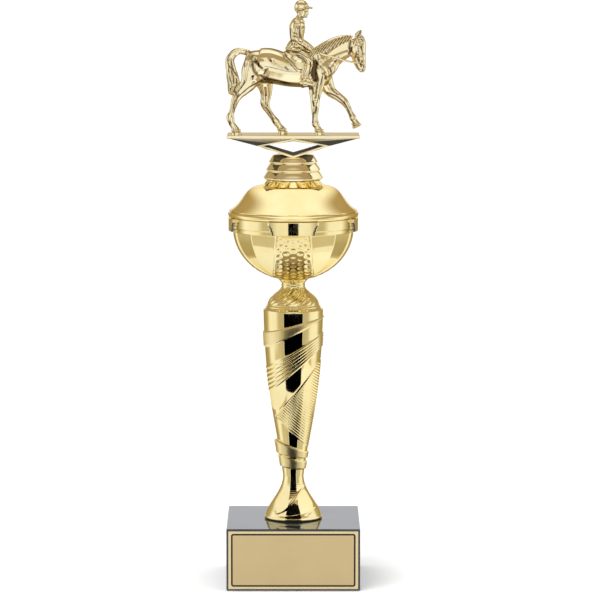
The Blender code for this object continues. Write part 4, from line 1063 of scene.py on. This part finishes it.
HORSE_FORMS += [HIND_BACK, HIND_FRONT, FORE_PLANTED, FORE_RAISED]
shapes = [loft(form) for form in HORSE_FORMS] + [patch(*place) for place in HORSE_SWELLINGS]
horse = figure_skin("horse_skin", shapes, 0.42, 5, horse_relief(), HORSE_PAINTED_SHADE)
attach(horse, "root")
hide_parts("horse_and_rider")


# The rider.
# Part of the same moulding: a short coat, breeches, long boots and a peaked riding cap, with a
# calm, plain face of ordinary proportions.
RIDER_TRUNK = [
    (0.2, 0, 55.0, 5.0, 4.6), (1.4, 0, 60.0, 5.2, 4.8), (2.3, 0, 64.0, 4.8, 4.5),
    (2.5, 0, 69.0, 5.7, 5.1), (2.8, 0, 73.6, 6.7, 5.5), (3.2, 0, 76.6, 6.6, 4.4),
    (4.0, 0, 78.6, 3.2, 2.8), (4.9, 0, 81.0, 2.2, 2.2),
]
RIDER_COAT_TAIL = [
    (0.6, 0, 63.0, 4.6, 3.0), (-1.6, 0, 60.0, 5.0, 3.0), (-4.0, 0, 57.2, 4.6, 2.0),
]
RIDER_COAT_FRONT = [
    (1.6, 0, 62.4, 4.8, 3.4), (5.4, 0, 60.0, 5.4, 3.0), (9.4, 0, 57.4, 4.6, 2.2),
]
RIDER_HEAD = [
    (6.4, 0, 79.4, 1.6, 1.6), (6.4, 0, 81.0, 2.7, 3.2), (6.2, 0, 83.6, 3.3, 4.2),
    (5.7, 0, 86.0, 4.2, 4.9), (5.5, 0, 88.6, 3.9, 4.5), (5.5, 0, 90.5, 2.6, 3.1),
    (5.5, 0, 91.3, 1.2, 1.4),
]
RIDER_PEAK = [
    (8.0, 0, 86.6, 3.2, 0.8), (11.0, 0, 86.3, 2.8, 0.7), (13.2, 0, 85.8, 1.6, 0.6),
]
RIDER_ARM = [
    (2.8, -6.0, 75.6, 2.2, 2.4), (1.9, -7.6, 71.4, 2.0, 2.4), (1.6, -8.2, 66.8, 2.0, 2.3),
    (4.6, -7.6, 63.6, 1.9, 2.2), (8.6, -6.2, 61.2, 1.7, 2.1), (12.6, -4.8, 58.0, 1.6, 2.0),
]
RIDER_LEG = [
    (-0.6, -4.4, 56.2, 3.2, 3.6), (4.6, -7.8, 54.6, 2.8, 3.4), (10.2, -9.6, 50.6, 2.3, 2.9),
    (10.4, -10.6, 46.4, 2.1, 2.6), (8.8, -10.9, 41.4, 1.8, 2.2), (7.6, -10.9, 37.0, 1.5, 1.6),
]
RIDER_FOOT = [
    (4.2, -10.9, 35.6, 1.1, 1.1), (7.6, -11.0, 35.6, 1.5, 1.6), (11.0, -11.2, 34.8, 1.5, 1.3),
    (13.8, -11.3, 34.2, 1.0, 0.8),
]

# Seams, folds, lapels, cap band and boot tops, and the relief of the face, in the side view
OUTER = (5, 20)
RIDER_RELIEF = [
    # Cap: band and button
    ([(1.2, 85.6), (5.6, 85.4), (9.6, 86.6)], (0.55, 0.55), 0.42),
    # Collar and lapels
    ([(2.2, 79.0), (5.0, 77.8), (7.2, 76.4)], (0.8, 0.6), 0.55),
    ([(6.2, 78.4), (7.4, 74.0), (7.2, 69.6)], (0.8, 0.5), 0.45, (0.8, 9)),
    ([(7.4, 72.6), (6.2, 73.4), (6.4, 71.8)], (0.5, 0.4), -0.35, (0.8, 9)),
    # Coat: waist seam, back seam and pocket flap
    ([(-2.0, 64.4), (2.4, 63.4), (6.6, 63.2)], (0.6, 0.6), -0.40),
    ([(-0.6, 61.4), (2.4, 60.8)], (0.45, 0.45), 0.35, (3.0, 9)),
    # Sleeve: shoulder seam and folds at the elbow
    ([(0.8, 77.2), (1.0, 74.4), (3.4, 72.8)], (0.6, 0.5), -0.35, OUTER),
    ([(0.2, 69.6), (3.4, 68.4)], (0.6, 0.4), -0.35, OUTER),
    ([(0.0, 67.2), (3.6, 66.6)], (0.6, 0.4), -0.40, OUTER),
    ([(0.6, 65.2), (3.8, 66.0)], (0.5, 0.4), 0.30, OUTER),
    ([(3.6, 64.8), (6.0, 62.0)], (0.5, 0.4), -0.30, OUTER),
    ([(10.6, 61.2), (9.0, 58.4)], (0.5, 0.5), 0.40, (3.5, 20)),
    ([(1.6, 75.6), (1.4, 71.0), (1.2, 67.6)], (0.8, 0.6), 0.45, OUTER),
    ([(2.6, 74.8), (2.8, 71.0), (2.4, 68.4)], (0.45, 0.4), -0.40, OUTER),
    ([(4.6, 65.2), (8.2, 62.8), (11.6, 60.2)], (0.7, 0.5), 0.40, OUTER),
    # Coat: long folds on the chest and the skirt
    ([(5.6, 72.0), (5.2, 68.0), (5.8, 65.0)], (0.5, 0.4), -0.40, (1.0, 7)),
    ([(-1.0, 62.4), (-2.4, 60.0), (-4.0, 58.4)], (0.6, 0.5), -0.40, (1.0, 9)),
    ([(1.0, 62.4), (0.4, 59.8)], (0.5, 0.4), -0.35, (3.0, 9)),
    # Breeches: long folds toward the knee, and the coat's hem over them
    ([(-4.8, 58.6), (1.0, 57.4), (8.6, 58.8)], (0.7, 0.7), 0.50, (2.0, 20)),
    ([(-0.6, 56.4), (4.6, 55.8), (9.6, 52.8)], (0.7, 0.5), -0.45, OUTER),
    ([(1.6, 54.2), (5.6, 53.6), (9.0, 50.6)], (0.6, 0.5), -0.35, OUTER),
    ([(0.0, 52.6), (4.6, 51.4)], (0.6, 0.5), -0.30, OUTER),
    # Boots: tops, ankle creases and heel
    ([(7.4, 48.2), (13.0, 47.2)], (0.7, 0.7), 0.45, OUTER),
    ([(6.4, 39.0), (10.4, 38.2)], (0.5, 0.4), -0.30, OUTER),
    ([(6.0, 36.4), (9.6, 37.4)], (0.5, 0.4), -0.30, OUTER),
    ([(6.2, 34.2), (6.2, 33.2)], (0.6, 0.5), 0.35, OUTER),
    # Face: brow, eye, cheek, mouth and the line of the jaw
    ([(8.4, 84.6), (9.5, 84.4)], (0.55, 0.45), 0.25, (0.5, 9)),
    ([(8.3, 83.6), (9.2, 83.5)], (0.45, 0.40), -0.35, (0.6, 9)),
    ([(8.9, 80.9), (9.6, 80.9)], (0.30, 0.30), -0.25),
    ([(5.2, 80.0), (7.6, 79.4)], (0.6, 0.5), -0.30, (1.2, 9)),
    ([(5.4, 84.4), (5.6, 82.4)], (0.55, 0.45), 0.45, (2.0, 9)),
]
# Painted shade and painted dark reflections, in brown, on the rider: under the arm, along the thigh and the
# boot
RIDER_PAINTED_SHADE = [
    ([(-1.6, 72.0), (-1.8, 66.0), (-0.6, 61.0)], (0.8, 0.7), 0.9),
    ([(4.0, 74.0), (4.2, 69.5), (4.6, 66.0)], (0.7, 0.6), 1.1, (3, 20)),
    ([(1.4, 72.6), (1.0, 68.0)], (0.5, 0.4), 0.8, (3, 20)),
    ([(3.4, 62.2), (7.6, 59.6), (11.0, 57.0)], (0.7, 0.6), 1.1, (3, 20)),
    ([(-3.6, 57.4), (0.6, 56.6), (5.0, 57.0)], (0.7, 0.6), 1.0, (3, 20)),
    ([(2.0, 53.4), (6.2, 52.2), (8.8, 49.0)], (0.7, 0.6), 1.1, (3, 20)),
    ([(11.6, 49.6), (11.4, 45.0), (10.4, 40.0)], (0.7, 0.5), 1.1, (3, 20)),
    ([(7.0, 46.0), (6.6, 41.0), (6.2, 37.4)], (0.6, 0.5), 1.0, (3, 20)),
    ([(4.4, 34.6), (9.0, 34.2), (12.6, 33.4)], (0.6, 0.5), 1.0, (3, 20)),
    ([(2.6, 83.0), (2.2, 80.6)], (0.9, 0.7), 0.7),
    ([(1.2, 84.9), (5.6, 84.7), (9.6, 85.9)], (0.5, 0.5), 1.0),
]

# Nose, chin and hands
RIDER_SWELLINGS = [
    ((9.9, 0, 82.3), (0.9, 0.7, 1.2)), ((8.9, 0, 80.2), (1.0, 1.2, 0.9)),
    ((12.4, -4.6, 58.2), (1.9, 1.5, 1.7)), ((12.4, 4.6, 58.2), (1.9, 1.5, 1.7)),
]
RIDER_FORMS = [RIDER_TRUNK, RIDER_COAT_TAIL, RIDER_COAT_FRONT, RIDER_HEAD, RIDER_PEAK]
RIDER_FORMS += both_sides([RIDER_ARM, RIDER_LEG, RIDER_FOOT])
shapes = [loft(form) for form in RIDER_FORMS] + [patch(*place) for place in RIDER_SWELLINGS]
rider = figure_skin("rider_skin", shapes, 0.34, 3, RIDER_RELIEF, RIDER_PAINTED_SHADE)
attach(rider, "root")


# The reins and the stirrups.
# Thin raised straps of the same moulding, from the rider's hands to the bit and from the saddle
# flaps to the feet.
REIN = [(12.8, -4.0, 57.6), (20, -5.6, 54.8), (28, -5.0, 52.6), (36, -3.8, 50.0), (46.2, -2.6, 48.2)]
LEATHER = [(6.2, -9.4, 50.0), (6.8, -10.6, 44.0), (7.0, -11.6, 38.4)]
IRON = [(7.0, -12.0, 38.4), (6.6, -12.4, 36.0), (7.2, -12.3, 34.0), (9.8, -12.2, 33.8)]


def tack_skin():
    """Straps and irons on both sides, each oval in section with its own half width and thickness."""
    sized = ((REIN, 0.28, 0.55), (LEATHER, 0.35, 0.70), (IRON, 0.40, 0.40))
    straps = [[(*point, wide, thick) for point in path] for path, wide, thick in sized]
    points, faces = joined([loft(strap, 5, 12) for strap in both_sides(straps)])
    return make_mesh("tack_skin", points * UNIT + (0, 0, GROUND_Z), faces, PALE_GOLD)


tack = tack_skin()
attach(tack, "root")


# The studio: a pale floor, soft light all round and the camera.
# Cards that only reflections see give the plating its bright and dark bands.
WHITE = (1, 1, 1, 1)
TAN = (0.44, 0.34, 0.21, 1)
FLOOR_RADIUS = 6
FLOOR_Z = -0.0002
UPRIGHT = Matrix.Rotation(math.pi / 2, 3, "X")
FLAT = Matrix.Rotation(math.pi, 3, "X")
SIDEWAYS = Matrix.Rotation(math.pi / 2, 3, "Y")


def studio_world():
    """White to the camera and to matt surfaces. To the plating it is bright at both sides, tan
    behind and in a ring above, and bright again overhead: colour is looked up by the azimuth from
    the front, atan2(x, -y), and by the elevation, asin(z)."""
    world = bpy.data.worlds.new("studio")
    bpy.context.scene.world = world
    world.use_nodes = True
    sky = Tree(world.node_tree)

    def ramp(value, *stops):
        made = sky.add("ShaderNodeValToRGB", {"Fac": value})
        points = made.color_ramp.elements
        while len(points) < len(stops):
            points.new(0.5)
        for point, (place, *colour) in zip(points, stops):
            point.position = place
            point.color = (*colour, 1)
        return made.outputs["Color"]

    def soft(value, low, high):
        return sky.share(value, low, high, "SMOOTHSTEP")

    def both(first, second):
        return sky.math("MULTIPLY", first, second)

    way = sky.axes("Generated")
    turn = both(sky.math("ABSOLUTE", sky.math("ARCTAN2", way["X"], both(way["Y"], -1.0))), 180 / math.pi)
    rise = both(sky.math("ARCSINE", way["Z"]), 180 / math.pi)
    sides = ramp(
        sky.math("DIVIDE", turn, 180.0),
        (0.00, 1.00, 1.00, 0.98),
        (0.16, 0.95, 0.95, 0.92),
        (0.23, 0.55, 0.50, 0.38),
        (0.33, 0.60, 0.55, 0.42),
        (0.40, 1.00, 1.00, 1.00),
        (0.58, 1.05, 1.05, 1.05),
        (0.68, 0.50, 0.43, 0.28),
        (0.85, 0.42, 0.35, 0.22),
        (1.00, 0.55, 0.47, 0.33),
    )
    ring = ramp(
        sky.math("DIVIDE", rise, 90.0),
        (0.0, 0.50, 0.41, 0.29),
        (0.55, 0.38, 0.30, 0.19),
        (0.64, 0.75, 0.68, 0.55),
        (0.72, 1.1, 1.1, 1.1),
    )
    facing = both(soft(turn, 46.0, 52.0), soft(turn, 88.0, 78.0))
    under = both(soft(rise, -11.0, -15.0), soft(rise, -35.0, -32.0))
    low_back = both(both(soft(turn, 150.0, 165.0), soft(rise, 1.0, 3.0)), soft(rise, 16.0, 12.0))
    lit = sky.blend(soft(rise, -30.0, -36.0), sides, (1.0, 0.98, 0.92, 1))
    lit = sky.blend(soft(rise, 20.0, 27.0), lit, ring)
    lit = sky.blend(soft(rise, -62.0, -70.0), lit, (0.05, 0.04, 0.03, 1))
    lit = sky.blend(both(facing, under), lit, (0.66, 0.61, 0.47, 1))
    lit = sky.blend(low_back, lit, (1.02, 1.03, 1.06, 1))
    mirrored = sky.add("ShaderNodeLightPath").outputs["Is Glossy Ray"]
    lit = sky.blend(mirrored, (1.07, 1.07, 1.07, 1), lit)
    sky.put(lit, world.node_tree.nodes["Background"].inputs["Color"])


def studio_floor():
    """A wide disc just under the block, which reflections don't show."""
    finish = Finish("floor")
    finish.shade({"Base Color": (0.97, 0.97, 0.97, 1), "Roughness": 0.9, "Specular IOR Level": 0.1})
    turn = np.linspace(0, 2 * math.pi, 96, endpoint=False)
    rim = np.stack([FLOOR_RADIUS * np.cos(turn), FLOOR_RADIUS * np.sin(turn), np.full(96, FLOOR_Z)], axis=1)
    floor = plain_mesh("floor", rim, [np.arange(96)[None]], finish.material)
    floor.visible_glossy = False


def soft_lamp(name, place, aim, size, power):
    """A square area light at place, facing aim, that reflections don't show."""
    lamp = bpy.data.lights.new(name, "AREA")
    lamp.energy = power
    lamp.size = size
    made = bpy.data.objects.new(name, lamp)
    made.location = place
    made.rotation_euler = (Vector(aim) - Vector(place)).to_track_quat("-Z", "Y").to_euler()
    made.visible_glossy = False
    bpy.context.scene.collection.objects.link(made)


def card(name, centre, size, turn, strength, colour=WHITE, fade=None):
    """A flat card seen by reflections alone, lying along x and y before the turn. A fade of axis,
    start, end and colour lets it pass into that colour along the distance from the middle."""
    finish = Finish(name)
    finish.shade({"Base Color": (0, 0, 0, 1), "Roughness": 1.0, "Specular IOR Level": 0.0})
    finish.shade({"Emission Color": colour, "Emission Strength": strength})
    if fade:
        axis, start, end, far_colour = fade
        away = finish.share(finish.math("ABSOLUTE", finish.axes()[axis]), start, end, "SMOOTHSTEP")
        finish.shade({"Emission Color": finish.blend(away, colour, far_colour)})
    corners = np.array([(-1, -1, 0), (1, -1, 0), (1, 1, 0), (-1, 1, 0)]) * (size[0] / 2, size[1] / 2, 0)
    made = plain_mesh(name, corners @ np.array(turn).T + centre, [np.arange(4)[None]], finish.material)
    made.visible_camera = False
    made.visible_diffuse = False
    made.visible_shadow = False
    made.visible_transmission = False


studio_world()
studio_floor()
soft_lamp("key", (-0.9, -1.4, 1.5), (0, 0, 0.15), 1.2, 18)

# For the column and its foot
card("stem_dark", (0, -0.045, 0.1495), (0.052, 0.063), UPRIGHT, 0.0)
card("foot_dark", (0, -0.045, 0.063), (0.050, 0.074), UPRIGHT, 0.0)
card("foot_left", (-0.085, 0.005, 0.112), (0.114, 0.210), FLAT, 1.0)
card("foot_right", (0.085, 0.005, 0.112), (0.114, 0.210), FLAT, 1.1)

# For the bowl and the lid
card("under_bowl", (0, -0.043, 0.1905), (0.040, 0.034), FLAT, 1.0, (0.36, 0.28, 0.15, 1))
card("shield_dark", (0, -2.2, 0.010), (0.70, 0.200), UPRIGHT, 0.0)
LID_FADE = ("X", 0.024, 0.047, TAN)
LID_CARDS = (
    ("lid_front", (0, -0.0860, 0.2737), (0.26, 0.135)),
    ("lid_left", (-0.0735, 0.0400, 0.2737), (0.105, 0.117)),
    ("lid_right", (0.0735, 0.0400, 0.2737), (0.105, 0.117)),
)
for name, centre, size in LID_CARDS:
    card(name, centre, size, FLAT, 1.12, WHITE, LID_FADE)

# For the collar, the bracket and the figure
FIGURE_FADE = ("Y", 0.115, 0.185, (1, 0.96, 0.86, 1))
card("figure_tan", (0, -0.125, 0.470), (0.40, 0.210), FLAT, 1.0, TAN, FIGURE_FADE)
card("collar_right", (0.030, 0.002, 0.2885), (0.020, 0.028), SIDEWAYS, 1.1)
card("behind_figure", (0, 0.300, 0.345), (0.30, 0.070), UPRIGHT, 1.0, (0.70, 0.62, 0.52, 1))
for name, across, turned in (("dark_left", -0.140, -0.80), ("dark_right", 0.130, 0.80)):
    slanted = Matrix.Rotation(turned, 3, "Z") @ UPRIGHT
    card(name, (across, -0.125, 0.352), (0.032, 0.110), slanted, 0.0)

# The camera: a long lens, a little above the middle of the trophy
VIEW_TILT = math.radians(6.5)
VIEW_DISTANCE = 2.244
VIEW_AIM = Vector((0.001836, 0, 0.194594))
lens = bpy.data.cameras.new("view")
lens.lens_unit = "FOV"
lens.angle = 2 * math.atan(296 / 3300)
camera = bpy.data.objects.new("view", lens)
camera.location = VIEW_AIM + Vector((0, -math.cos(VIEW_TILT), math.sin(VIEW_TILT))) * VIEW_DISTANCE
camera.rotation_euler = (math.pi / 2 - VIEW_TILT, 0, 0)
bpy.context.scene.collection.objects.link(camera)
bpy.context.scene.camera = camera
bpy.context.scene.view_settings.view_transform = "Standard"
